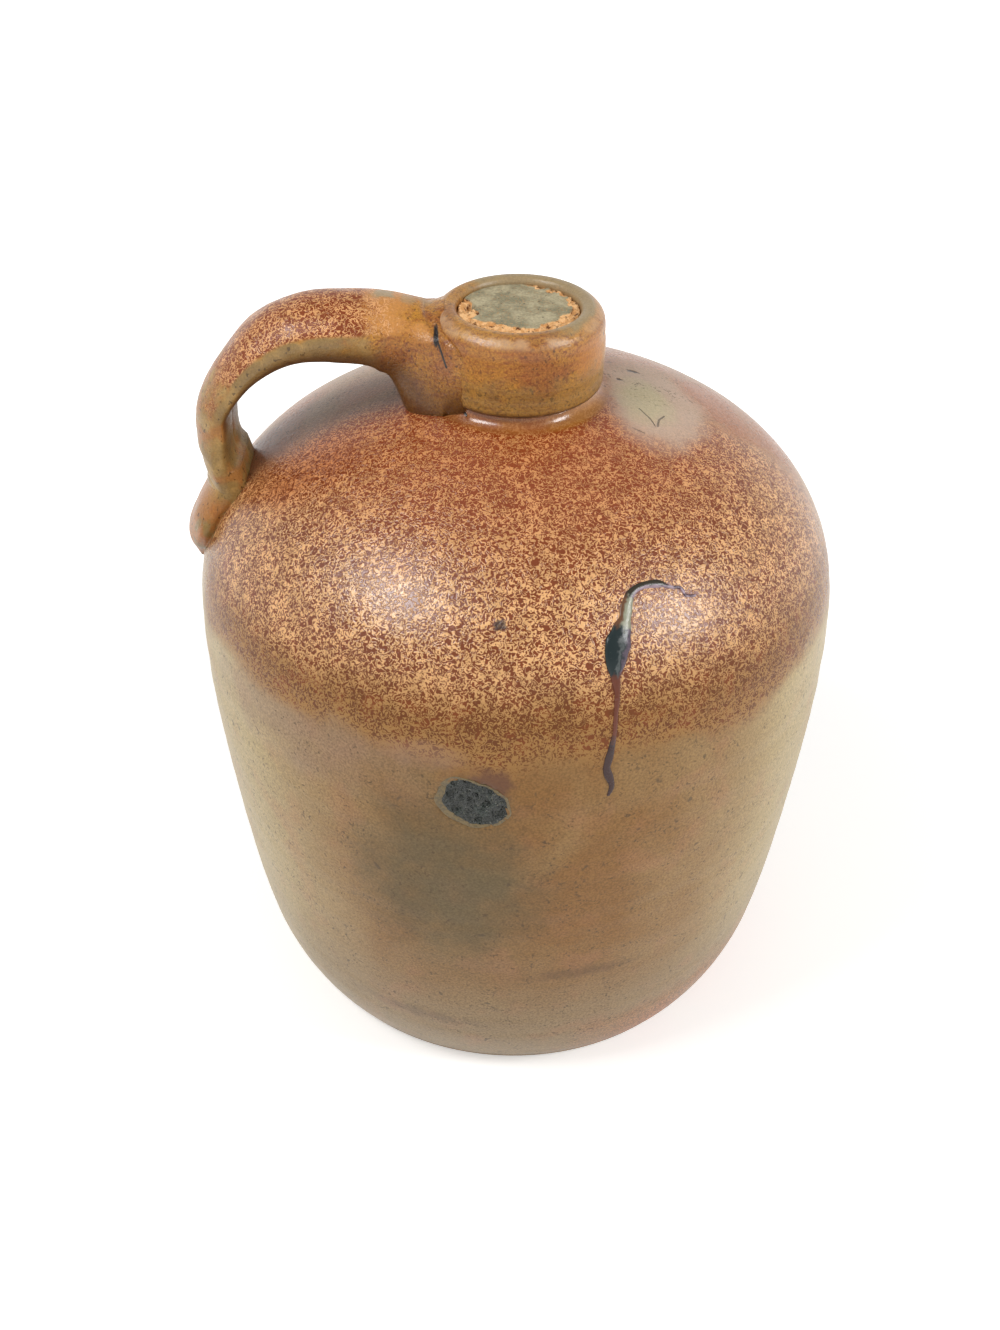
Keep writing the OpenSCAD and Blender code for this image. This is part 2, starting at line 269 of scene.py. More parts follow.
def face_outwards(mesh):
    """Turns a closed mesh's faces outwards, by the sign of the room that it encloses."""
    mesh.calc_loop_triangles()
    corners = np.empty(len(mesh.loop_triangles) * 3, int)
    mesh.loop_triangles.foreach_get("vertices", corners)
    p = points_of(mesh)[corners].reshape(-1, 3, 3)
    if np.einsum("ij,ij->i", p[:, 0], np.cross(p[:, 1], p[:, 2])).sum() < 0:
        mesh.flip_normals()
    mesh.update()


def points_of(mesh):
    flat = np.empty(len(mesh.vertices) * 3)
    mesh.vertices.foreach_get("co", flat)
    return flat.reshape(-1, 3)


def set_points(mesh, points):
    mesh.vertices.foreach_set("co", np.asarray(points, float).ravel())
    mesh.update()


def ring_faces(rings, sides, closed_ends=True):
    """Quads that skin a stack of rings, with a fan of triangles over each end."""
    faces = []
    for i in range(rings - 1):
        for k in range(sides):
            m = (k + 1) % sides
            faces.append((i * sides + k, i * sides + m, (i + 1) * sides + m, (i + 1) * sides + k))
    if closed_ends:
        last = (rings - 1) * sides
        faces += [(0, k + 1, k) for k in range(1, sides - 1)]
        faces += [(last, last + k, last + k + 1) for k in range(1, sides - 1)]
    return faces


def give_to_body(piece, body, slot, *nodes):
    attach(piece, body)
    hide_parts(*nodes)


class NodeMaker:
    """Adds nodes to a tree. Each call links or sets its inputs and returns the node's first output."""

    def __init__(self, tree):
        self.tree = tree

    def add(self, kind, inputs=(), output=0, **settings):
        node = self.tree.nodes.new(kind)
        for key, value in settings.items():
            setattr(node, key, value)
        for key, value in dict(inputs).items():
            self.feed(node.inputs[key], value)
        return node.outputs[output]

    def feed(self, socket, value):
        """Links a value to an input, or sets the input to a number, a colour or a hex code."""
        if isinstance(value, str) and value.startswith("#"):
            value = linear(value)
        if isinstance(value, bpy.types.NodeSocket):
            self.tree.links.new(value, socket)
        elif socket.type == "RGBA":
            socket.default_value = (*value, 1.0)
        else:
            socket.default_value = value

    def sum(self, operation, a, b=0.0, clamp=False):
        return self.add("ShaderNodeMath", {0: a, 1: b}, operation=operation, use_clamp=clamp)

    def vector(self, operation, a, b=None, output=0):
        inputs = {0: a}
        if b is not None:
            inputs[1] = b
        return self.add("ShaderNodeVectorMath", inputs, output, operation=operation)


def throwing_tree():
    """The wheel: turns a profile into a thrown form, with rings and wobble drawn inwards only."""
    tree = bpy.data.node_groups.new("wheel_throwing", "GeometryNodeTree")
    sockets = (("Profile", "INPUT", "NodeSocketGeometry"), ("Segments", "INPUT", "NodeSocketInt"),
               ("Ring depth", "INPUT", "NodeSocketFloat"), ("Ring pitch", "INPUT", "NodeSocketFloat"),
               ("Wobble", "INPUT", "NodeSocketFloat"), ("Seed", "INPUT", "NodeSocketFloat"),
               ("Material", "INPUT", "NodeSocketMaterial"), ("Form", "OUTPUT", "NodeSocketGeometry"))
    for name, way, kind in sockets:
        tree.interface.new_socket(name, in_out=way, socket_type=kind)
    make = NodeMaker(tree)
    given = tree.nodes.new("NodeGroupInput").outputs
    rows = make.add("GeometryNodeAttributeDomainSize", {0: given["Profile"]}, component="MESH")
    columns = make.sum("ADD", given["Segments"], 1.0)
    grid = make.add("GeometryNodeMeshGrid", {"Vertices X": rows, "Vertices Y": columns})
    index = make.add("GeometryNodeInputIndex")
    row = make.sum("FLOOR", make.sum("DIVIDE", make.sum("ADD", index, 0.5), columns))
    column = make.sum("SUBTRACT", index, make.sum("MULTIPLY", row, columns))
    turn = make.sum("MULTIPLY", make.sum("DIVIDE", column, given["Segments"]), math.tau)

    def sample(kind, value):
        return make.add("GeometryNodeSampleIndex",
                        {"Geometry": given["Profile"], "Value": value, "Index": row},
                        data_type=kind, domain="POINT")

    place = sample("FLOAT_VECTOR", make.add("GeometryNodeInputPosition"))
    touched = sample("FLOAT",
                     make.add("GeometryNodeInputNamedAttribute", {"Name": "touched"}, data_type="FLOAT"))
    apart = make.tree.nodes.new("ShaderNodeSeparateXYZ")
    make.feed(apart.inputs[0], place)
    radius, height = apart.outputs[0], apart.outputs[2]
    cosine, sine = make.sum("COSINE", turn), make.sum("SINE", turn)
    ground = make.add("ShaderNodeCombineXYZ", {0: make.sum("MULTIPLY", radius, cosine),
                                               1: make.sum("MULTIPLY", radius, sine), 2: height})
    along = make.sum("SUBTRACT", height, make.sum("MULTIPLY", radius, 0.35))
    drift = make.add("ShaderNodeTexNoise",
                     {"Vector": ground, "Scale": 9.0, "Detail": 1.0, "W": given["Seed"]},
                     noise_dimensions="4D")
    climb = make.sum("ADD", make.sum("DIVIDE", along, given["Ring pitch"]),
                     make.sum("MULTIPLY", drift, 1.6))
    rings = make.add("ShaderNodeTexNoise", {"W": climb, "Scale": 1.0, "Detail": 1.5}, noise_dimensions="1D")
    lean = make.add("ShaderNodeTexNoise", {"Vector": ground, "Scale": 16.0, "Detail": 0.0,
                                           "W": make.sum("ADD", given["Seed"], 7.0)}, noise_dimensions="4D")
    drawn = make.sum("ADD", make.sum("MULTIPLY", rings, given["Ring depth"]),
                     make.sum("MULTIPLY", lean, given["Wobble"]))
    pulled_r = make.sum("SUBTRACT", radius, make.sum("MULTIPLY", drawn, touched))
    thrown = make.add("ShaderNodeCombineXYZ", {0: make.sum("MULTIPLY", pulled_r, cosine),
                                               1: make.sum("MULTIPLY", pulled_r, sine), 2: height})
    form = make.add("GeometryNodeSetPosition", {"Geometry": grid, "Position": thrown})
    form = make.add("GeometryNodeMergeByDistance", {"Geometry": form, "Distance": 0.001 * MM})
    form = make.add("GeometryNodeSetShadeSmooth", {"Geometry": form})
    form = make.add("GeometryNodeRealizeInstances", {"Geometry": form})
    form = make.add("GeometryNodeSetMaterial", {"Geometry": form, "Material": given["Material"]})
    out = tree.nodes.new("NodeGroupOutput")
    make.feed(out.inputs[0], form)
    return tree


def throw(name, profile, touched, material, **inputs):
    """Throws a closed profile of (radius, height) points on the wheel and bakes it to a plain mesh."""
    tree = bpy.data.node_groups.get("wheel_throwing") or throwing_tree()
    line = bpy.data.meshes.new(name + "_profile")
    line.from_pydata([(r, 0.0, z) for r, z in profile], [(i, i + 1) for i in range(len(profile) - 1)], [])
    mark_points(line, "touched", touched)
    draft = new_object(name + "_draft", line)
    wheel = draft.modifiers.new("Wheel", "NODES")
    wheel.node_group = tree
    for item in tree.interface.items_tree:
        if item.in_out == "INPUT" and item.name in inputs:
            wheel[item.identifier] = inputs[item.name]
        elif item.name == "Material":
            wheel[item.identifier] = material
    ready = draft.evaluated_get(bpy.context.evaluated_depsgraph_get())
    mesh = bpy.data.meshes.new_from_object(ready)
    bpy.data.objects.remove(draft)
    mesh.name = name
    if not mesh.polygons:
        raise RuntimeError(f"the wheel threw nothing for {name}")
    mesh.materials.clear()
    mesh.materials.append(material)
    face_outwards(mesh)
    return new_object(name, mesh)


class Glaze(NodeMaker):
    """One material, whose coats of colour are laid over each other."""

    def __init__(self, name):
        self.material = bpy.data.materials.new(name)
        self.material.use_nodes = True
        super().__init__(self.material.node_tree)
        self.colour = None
        self.shader = self.tree.nodes["Principled BSDF"]
        self.place = self.tree.nodes.new("ShaderNodeTexCoord").outputs["Object"]
        apart = self.tree.nodes.new("ShaderNodeSeparateXYZ")
        self.feed(apart.inputs[0], self.place)
        self.x, self.y, self.z = apart.outputs
        flat = self.vector("MULTIPLY", self.place, (1.0, 1.0, 0.0))
        self.radius = self.vector("LENGTH", flat, output="Value")

    def noise(self, size, detail=0.0, distortion=0.0, stretch=(1, 1, 1), offset=0.0):
        """Noise from 0 to 1 whose bumps are about one size, in millimetres."""
        mapped = self.add("ShaderNodeMapping", {"Vector": self.place, "Location": (offset, offset, offset),
                                                "Scale": stretch})
        return self.add("ShaderNodeTexNoise", {"Vector": mapped, "Scale": 1 / (size * MM), "Detail": detail,
                                               "Distortion": distortion})

    def fit(self, value, low, high, to_low=0.0, to_high=1.0, kind="SMOOTHSTEP"):
        return self.add("ShaderNodeMapRange", {"Value": value, "From Min": low, "From Max": high,
                                               "To Min": to_low, "To Max": to_high},
                        interpolation_type=kind)

    def spread(self, noise, low, high):
        """A noise spread evenly from low to high."""
        return self.fit(noise, 0.3, 0.7, low, high, "LINEAR")

    def mark(self, label):
        """A number that the mesh keeps at each point."""
        return self.add("ShaderNodeAttribute", attribute_name=label, output="Fac")

    def coat(self, colour, *shares):
        """Lays a colour over the coats before it, as thick as the product of its shares."""
        self.colour = self.blend(self.colour, colour, self.times(*shares))

    def blend(self, low, high, share):
        node = self.tree.nodes.new("ShaderNodeMix")
        node.data_type = "RGBA"
        sockets = {s.identifier: s for s in node.inputs}
        self.feed(sockets["Factor_Float"], share)
        self.feed(sockets["A_Color"], low)
        self.feed(sockets["B_Color"], high)
        return {s.identifier: s for s in node.outputs}["Result_Color"]

    def scaled(self, colour, share):
        return self.add("ShaderNodeVectorMath", {0: colour, "Scale": share}, operation="SCALE")

    def times(self, *shares):
        return reduce(lambda a, b: self.sum("MULTIPLY", a, b), shares)

    def most(self, *shares):
        return reduce(lambda a, b: self.sum("MAXIMUM", a, b), shares)

    def less(self, share):
        return self.sum("SUBTRACT", 1.0, share)

    def spot(self, centre, reach, soft=0.3, ragged=0.0, size=4):
        """A patch round a point, in millimetres: 1 inside, 0 outside, with a soft and ragged edge."""
        away = self.vector("SUBTRACT", self.place, in_metres(centre))
        away = self.vector("LENGTH", self.vector("DIVIDE", away, in_metres(reach)), output="Value")
        if ragged:
            away = self.sum("ADD", away, self.spread(self.noise(size, 3), -ragged, ragged))
        return self.fit(away, 1 - soft, 1 + soft, 1.0, 0.0)

    def line(self, points, width, ways=(1, 1, 1)):
        """A thin line through some points, in millimetres: 1 on it, 0 past its width, along some ways."""
        nearest = None
        place = self.vector("MULTIPLY", self.place, ways)
        points = [Vector(point) * Vector(ways) for point in in_metres(points)]
        for start, end in zip(points, points[1:]):
            run = end - start
            away = self.vector("SUBTRACT", place, start)
            along = self.sum("DIVIDE", self.vector("DOT_PRODUCT", away, run, "Value"), run.length_squared,
                             clamp=True)
            foot = self.scaled(tuple(run), along)
            gap = self.vector("DISTANCE", away, foot, "Value")
            nearest = gap if nearest is None else self.sum("MINIMUM", nearest, gap)
        return self.fit(nearest, 0.35 * width * MM, width * MM, 1.0, 0.0)

    def crack(self, points, width):
        """A crack on the side that faces the camera, through some points seen straight from the front."""
        front = self.fit(self.y, -4 * MM, -5 * MM)
        return self.times(self.line(points, width, (1, 0, 1)), front)

    def bump(self, height, distance, over=None):
        inputs = {"Height": height, "Distance": distance * MM, "Strength": 1.0}
        if over is not None:
            inputs["Normal"] = over
        return self.add("ShaderNodeBump", inputs)

    def finish(self, roughness, normal=None, **inputs):
        """Feeds the shader, whose other inputs are named with _ for a space, and returns the material."""
        inputs.update(Base_Color=self.colour, Roughness=roughness)
        if normal is not None:
            inputs["Normal"] = normal
        for label, value in inputs.items():
            self.feed(self.shader.inputs[label.replace("_", " ")], value)
        return self.material


# The cracks in the seams, as points on the jug in millimetres.
ROOT_CRACK = ((-22.3, -9.2, 222.1), (-21.7, -12.0, 220.6), (-20.7, -15.0, 218.0), (-19.4, -15.9, 214.2))
SEAM_CRACK = ((-15.9, -17.7, 204.3), (-15.7, -16.3, 201.5), (-14.3, -17.0, 200.6))


def in_metres(values):
    return np.multiply(values, MM).tolist()


def groove(points, line, width, depth):
    """Moves points near a line, seen straight from the front, towards the jug's axis to open a crack."""
    nearest = np.full(len(points), np.inf)
    seen_at = points[:, ::2]
    for start, end in zip(line, line[1:]):
        start, end = np.array(start)[::2], np.array(end)[::2]
        run = end - start
        along = np.clip((seen_at - start) @ run / (run @ run), 0, 1)
        nearest = np.minimum(nearest, np.linalg.norm(seen_at - start - along[:, None] * run, axis=1))
    share = np.exp(-(nearest / width) ** 2) * share_between(points[:, 1], -4 * MM, -5 * MM)
    inward = -points * (1, 1, 0)
    inward /= np.maximum(np.linalg.norm(inward, axis=1, keepdims=True), MM)
    return points + inward * (depth * share)[:, None]


def mottle(glaze, colours, height, top):
    """Salt glaze over iron slip, thin near the band's edge. Returns its colour and its orange peel."""
    grain = glaze.noise(0.6, 1.0, 0.8)
    worms = glaze.noise(1.25, 1.0, 1.1, offset=3.1)
    worms = glaze.fit(glaze.sum("ABSOLUTE", glaze.sum("SUBTRACT", worms, 0.5)), 0.14, 0.0, kind="LINEAR")
    broad = glaze.noise(17, 2.5, offset=1.7)
    patchy = glaze.noise(5, 2.0, offset=6.3)
    climb = glaze.sum("SUBTRACT", glaze.z, glaze.times(glaze.radius, 0.42))
    drift = glaze.times(patchy, 1.6 * MM)
    rings = glaze.add("ShaderNodeTexNoise",
                      {"W": glaze.sum("DIVIDE", glaze.sum("ADD", climb, drift), 1.5 * MM),
                                             "Scale": 1.0, "Detail": 1.0}, noise_dimensions="1D")
    ringed = glaze.times(glaze.sum("SUBTRACT", rings, 0.5), glaze.fit(broad, 0.42, 0.62, 0.02, 0.2))
    peel = glaze.sum("ADD", glaze.sum("ADD", glaze.times(grain, 0.52), glaze.times(worms, 0.48)), ringed)
    low = glaze.fit(height, 168 * MM, 152 * MM)
    thin = glaze.fit(height, 155 * MM, 142 * MM, 0.0, 0.17)
    level = glaze.sum("ADD", glaze.spread(broad, 0.545, 0.505), glaze.times(top, 0.03))
    level = glaze.sum("ADD", level, glaze.spread(patchy, 0.02, -0.02))
    level = glaze.sum("SUBTRACT", level, thin)
    light = glaze.fit(glaze.sum("SUBTRACT", peel, level), -0.06, 0.09)
    iron = glaze.blend(glaze.blend(colours.iron_mid, colours.iron_low, low), colours.iron_top, top)
    iron = glaze.blend(iron, colours.iron_red, glaze.times(glaze.fit(patchy, 0.45, 0.7), 0.4))
    salt = glaze.blend(glaze.blend(colours.salt_mid, colours.salt_low, low), colours.salt_top, top)
    salt = glaze.blend(salt, colours.salt_low, glaze.times(glaze.fit(patchy, 0.6, 0.35), 0.35))
    return glaze.blend(iron, salt, light), peel


def body_glaze(colours):
    """Mottled iron-brown shoulder over a plain grey-tan wall, with the kiln's marks."""
    glaze = Glaze("body_glaze")
    facing = glaze.sum("DIVIDE", glaze.sum("MULTIPLY", glaze.y, -1.0), glaze.radius)
    side = glaze.sum("DIVIDE", glaze.x, glaze.radius)
    cloud = glaze.noise(30, 3.0, 0.4)
    veil = glaze.noise(13, 3.0, 0.2, offset=5.0)
    edge = glaze.sum("ADD", glaze.z, glaze.spread(cloud, -4 * MM, 4 * MM))
    mottled, peel = mottle(glaze, colours, edge, glaze.fit(glaze.z, 176 * MM, 199 * MM))
    grain = glaze.noise(0.62, 1.5, offset=9.0)
    # The wall below the band: grey-tan at the sides, redder in front and darker there as painted shade, with
    # soft clouds.
    warm = glaze.times(glaze.fit(facing, 0.55, 0.97), glaze.fit(cloud, 0.3, 0.62, 0.8, 1.0))
    wall = glaze.blend(colours.wall_grey, colours.wall_warm_shaded, warm)
    # Painted shade: the wall darkens towards the foot, most in front.
    wall = glaze.blend(wall, colours.wall_low_shaded, glaze.times(glaze.fit(glaze.z, 72 * MM, 22 * MM, 0.0, 0.85),
                                                           glaze.fit(facing, 0.3, 0.8, 0.3, 1.0)))
    wall = glaze.blend(wall, colours.mauve, glaze.times(glaze.fit(veil, 0.5, 0.72), 0.24))
    flashed = glaze.spot((-58, -72, 142), (34, 30, 15), 0.55, 0.35, 14)
    wall = glaze.blend(wall, "#94765e", glaze.times(flashed, 0.6))
    near_foot = glaze.times(glaze.fit(glaze.z, 40 * MM, 8 * MM), glaze.fit(side, 0.1, 0.6),
                            glaze.fit(cloud, 0.3, 0.55))
    red = glaze.blend(colours.foot_red, colours.foot_pale, glaze.fit(grain, 0.4, 0.6))
    wall = glaze.blend(wall, red, glaze.times(near_foot, 0.85))
    wall = glaze.scaled(wall, glaze.spread(grain, 0.76, 1.24))
    # The band of mottle covers the shoulder on the side that faced the salt.
    band = glaze.fit(edge, 139 * MM, 148 * MM)
    turned = glaze.sum("ADD", facing, glaze.spread(cloud, -0.12, 0.12))
    front = glaze.fit(turned, -0.08, 0.22)
    back = glaze.blend(colours.mauve, "#a98560", glaze.fit(cloud, 0.4, 0.65))
    back = glaze.scaled(back, glaze.spread(grain, 0.72, 1.22))
    shoulder = glaze.blend(wall, back, glaze.fit(glaze.z, 150 * MM, 175 * MM))
    banded = glaze.times(band, front)
    glaze.colour = glaze.blend(shoulder, mottled, banded)
    red_side = glaze.spot((-60, -18, 184), (20, 15, 11), 0.6, 0.3, 9)
    glaze.coat(glaze.scaled(colours.iron_red, glaze.fit(peel, 0.4, 0.6, 0.6, 1.8)), red_side, front, 0.45)
    # The glaze pooled in the hollow round the collar is smooth and ochre.
    pooled = glaze.times(glaze.fit(glaze.radius, 26.2 * MM, 24.2 * MM), glaze.fit(turned, -0.2, 0.2))
    pool = glaze.blend(colours.ochre, colours.ochre_red, glaze.fit(cloud, 0.35, 0.65))
    glaze.coat(pool, pooled, 0.7)
    # The grey-green stain under the stone, the halo over it and the haze beside it.
    stained = glaze.spot((-21, -93, 98), (23, 36, 31), 0.6, 0.2, 9)
    patchy = glaze.fit(glaze.noise(9, 3.0, offset=8.0), 0.28, 0.62, 0.75, 1.0)
    glaze.coat(glaze.scaled(colours.stain, glaze.spread(grain, 0.8, 1.2)), stained, patchy, 0.82)
    halo = glaze.spot((-8.4, -93.9, 136.8), (5.4, 9, 4.4), 0.45, 0.3, 3)
    glaze.coat("#664232", halo, 0.75)
    haze = glaze.spot((-25, -90, 144), (10, 9, 3.5), 0.6, 0.3, 5)
    glaze.coat("#a98a78", haze, 0.25)
    # The bare patch on the shoulder: a tan ring round a grey-green middle, with scratches.
    ring = glaze.spot((38.5, -1, 195), (15, 22, 12), 0.32, 0.12, 9)
    middle = glaze.spot((35.5, -1, 196.3), (7.5, 11, 8), 0.5, 0.2, 5)
    fine = glaze.spread(grain, 0.9, 1.1)
    glaze.coat(glaze.scaled(colours.patch_ring, fine), ring, 0.85)
    glaze.coat(glaze.scaled(colours.patch_mid, fine), middle, 0.8)
    scratches = glaze.most(
        glaze.line(((33.4, -7, 197.0), (36.2, -11, 196.0), (37.4, -14, 195.5)), 0.3),
        glaze.line(((40.4, -7.6, 195.0), (38.6, -10.4, 195.4), (38.0, -13.6, 195.2)), 0.34),
        glaze.line(((30.6, -17.2, 197.0), (33.8, -18.4, 195.9)), 0.3))
    nicks = glaze.most(
        glaze.spot((33.6, 17.8, 196), (1.9, 0.9, 1.5), 0.4, 0.3, 1),
        glaze.spot((29, 8.5, 198.2), (1.0, 0.7, 1.2), 0.4, 0.3, 1),
        glaze.spot((-5.9, -77.8, 175.4), (1.6, 1.6, 1.2), 0.3, 0.25, 1))
    glaze.coat("#4b3a2c", scratches, 0.65)
    glaze.coat("#3a2c26", nicks, 0.85)
    glaze.coat("#1d1512", glaze.crack(SEAM_CRACK, 0.5))
    # Iron specks in the clay, and scuffs near the foot.
    bare = glaze.less(banded)
    fleck = glaze.fit(glaze.noise(1.0, 1.0, 0.2, offset=12.0), 0.6, 0.69)
    rare = glaze.fit(glaze.noise(6, 1.0, offset=6.0), 0.4, 0.65)
    glaze.coat("#53402c", fleck, rare, bare, 0.75)
    spots = glaze.fit(glaze.noise(3.4, 1.5, 0.4, offset=21.0), 0.71, 0.76)
    glaze.coat("#4a3d30", spots, bare, 0.6)
    scuff = glaze.noise(7, 3.0, 0.0, stretch=(1, 1, 12), offset=4.0)
    worn = glaze.times(glaze.fit(scuff, 0.66, 0.74), glaze.fit(glaze.z, 75 * MM, 30 * MM))
    smear = glaze.most(
        glaze.spot((19, -91, 57), (15, 9, 2.2), 0.9, 0.5, 5),
        glaze.spot((-33, -83, 30), (18, 12, 2.4), 0.9, 0.5, 5))
    glaze.coat("#57412f", glaze.most(glaze.times(worn, 0.55), glaze.times(smear, 0.4)))
    # The inside is dark slip and the underside is bare clay.
    glaze.coat(colours.slip, glaze.mark("inside"))
    glaze.coat(colours.bare_clay, glaze.fit(glaze.z, 0.6 * MM, 0.1 * MM))
    dull = glaze.most(glaze.times(stained, 0.2), glaze.times(ring, 0.1),
                      glaze.times(glaze.less(band), 0.06))
    roughness = glaze.sum("ADD", dull, glaze.spread(cloud, 0.25, 0.31))
    roughness = glaze.sum("SUBTRACT", roughness,
                          glaze.times(glaze.fit(glaze.radius, 29 * MM, 26 * MM), 0.06))
    tooth = glaze.bump(glaze.noise(2.6, 3.0, offset=15.0), 0.07)
    skin = glaze.bump(glaze.times(peel, glaze.fit(band, 0, 1, 0.4, 1.0), glaze.less(pooled)), 0.08,
                      over=tooth)
    cut = glaze.bump(glaze.most(scratches, nicks), 0.4, over=skin)
    cut.node.invert = True
    # The glaze is glassy where it is thick, on the shoulder, and dry on the wall below.
    glassy = glaze.times(glaze.fit(glaze.z, 152 * MM, 174 * MM), front)
    return glaze.finish(roughness, cut, Specular_IOR_Level=glaze.fit(glassy, 0, 1, 0.22, 0.8))


def ochre(glaze, colours):
    """Speckled ochre glaze, shared by the collar and the handle's root so that they meet unseen."""
    cloud = glaze.noise(11, 3.0, 0.5, offset=2.5)
    brushed = glaze.noise(6, 4.0, 0.2, stretch=(1, 1, 4), offset=4.5)
    glaze.colour = glaze.blend(colours.ochre, colours.ochre_red,
                               glaze.times(glaze.fit(cloud, 0.44, 0.66), 0.75))
    glaze.coat(colours.ochre_red, glaze.fit(brushed, 0.5, 0.68), 0.6)
    grain = glaze.noise(0.5, 1.5, offset=7.7)
    glaze.colour = glaze.scaled(glaze.colour, glaze.spread(grain, 0.72, 1.32))
    specks = glaze.fit(glaze.noise(0.8, 1.0, 0.3, offset=27.7), 0.52, 0.66)
    glaze.coat("#7d421b", specks, glaze.fit(cloud, 0.35, 0.6, 0.5, 0.9))
    black = glaze.fit(glaze.noise(1.1, 1.0, offset=17.7), 0.66, 0.74)
    glaze.coat("#4a3019", black, 0.75)


def collar_glaze(colours):
    """Ochre collar with a worn grey-green lip, a painted highlight on the lip's edge and painted shade in its
    drawn-in foot.
    """
    glaze = Glaze("collar_glaze")
    ochre(glaze, colours)
    mist = glaze.noise(5, 3.0, 0.3, offset=1.1)
    ragged = glaze.spread(mist, -1 * MM, 1 * MM)
    grain = glaze.spread(glaze.noise(0.5, 1.5, offset=5.7), 0.86, 1.14)
    lines = glaze.fit(glaze.noise(3.2, 2.0, stretch=(1, 1, 9), offset=41.0), 0.4, 0.6, 0.75, 1.15)
    brush = glaze.spot((-8, -21.5, 218), (12.5, 9, 5.4), 0.35, 0.3, 4)
    glaze.coat(glaze.scaled("#a25c28", glaze.times(lines, grain)), brush, 0.3)
    warm = glaze.spot((18.5, -14, 216), (5, 8, 6), 0.5, 0.3, 4)
    glaze.coat(glaze.scaled("#c07c3a", grain), warm, 0.6)
    low = glaze.fit(glaze.sum("ADD", glaze.z, glaze.times(ragged, 3.0)), SEAT_Z + 13 * MM, SEAT_Z + 5 * MM)
    glaze.coat(glaze.scaled(colours.khaki, grain), low, 0.5)
    specks = glaze.fit(glaze.noise(1.2, 2.0, 0.3, offset=37.7), 0.58, 0.68)
    glaze.coat("#4d3a1c", specks, low, 0.6)
    # The lip is worn grey-green on its flat top, and its rounded edge carries a pale painted highlight.
    inward = glaze.sum("ADD", glaze.radius, ragged)
    worn = glaze.times(glaze.fit(inward, COLLAR_R - 2.2 * MM, COLLAR_R - 4.0 * MM),
                       glaze.fit(glaze.z, RIM_Z - 3.5 * MM, RIM_Z - 1.5 * MM))
    behind = glaze.sum("ADD", glaze.times(glaze.x, 1.3), glaze.y)
    bloom = glaze.fit(glaze.sum("ADD", behind, glaze.times(ragged, 5.0)), -14 * MM, 4 * MM, 0.15, 0.9)
    glaze.coat(glaze.scaled(colours.lip_worn, grain), worn, bloom)
    # Painted highlight: a pale colour along the lip's rounded edge.
    highlit_edge = glaze.times(glaze.fit(glaze.z, RIM_Z - 3.6 * MM, RIM_Z - 1.6 * MM), glaze.less(worn))
    glaze.coat(colours.lip_highlight, highlit_edge, glaze.fit(mist, 0.3, 0.65), 0.6)
    # Painted shade: the drawn-in foot darkens just above the seat, where the collar meets the shoulder.
    foot_shade = glaze.times(glaze.fit(glaze.z, SEAT_Z + 2.0 * MM, SEAT_Z + 0.4 * MM),
                       glaze.fit(mist, 0.3, 0.5, 0.5, 1.0))
    glaze.coat("#3a241d", foot_shade, 0.85)
    crack = glaze.most(glaze.crack(ROOT_CRACK, 0.4), glaze.crack(SEAM_CRACK, 0.55))
    glaze.coat("#1d1512", crack)
    deep = glaze.times(glaze.fit(glaze.radius, 17.6 * MM, 17.0 * MM),
                       glaze.fit(glaze.z, RIM_Z - 2 * MM, RIM_Z - 6 * MM))
    glaze.coat(colours.slip, deep)
    roughness = glaze.spread(mist, 0.3, 0.4)
    peel = glaze.bump(glaze.noise(1.0, 1.5, offset=3.3), 0.09)
    rings = glaze.bump(glaze.noise(4, 3.0, stretch=(1, 1, 8), offset=8.8), 0.1, over=peel)
    return glaze.finish(roughness, rings,
                        Specular_IOR_Level=glaze.fit(glaze.z, RIM_Z - 7 * MM, RIM_Z - 4 * MM, 0.3, 0.6))


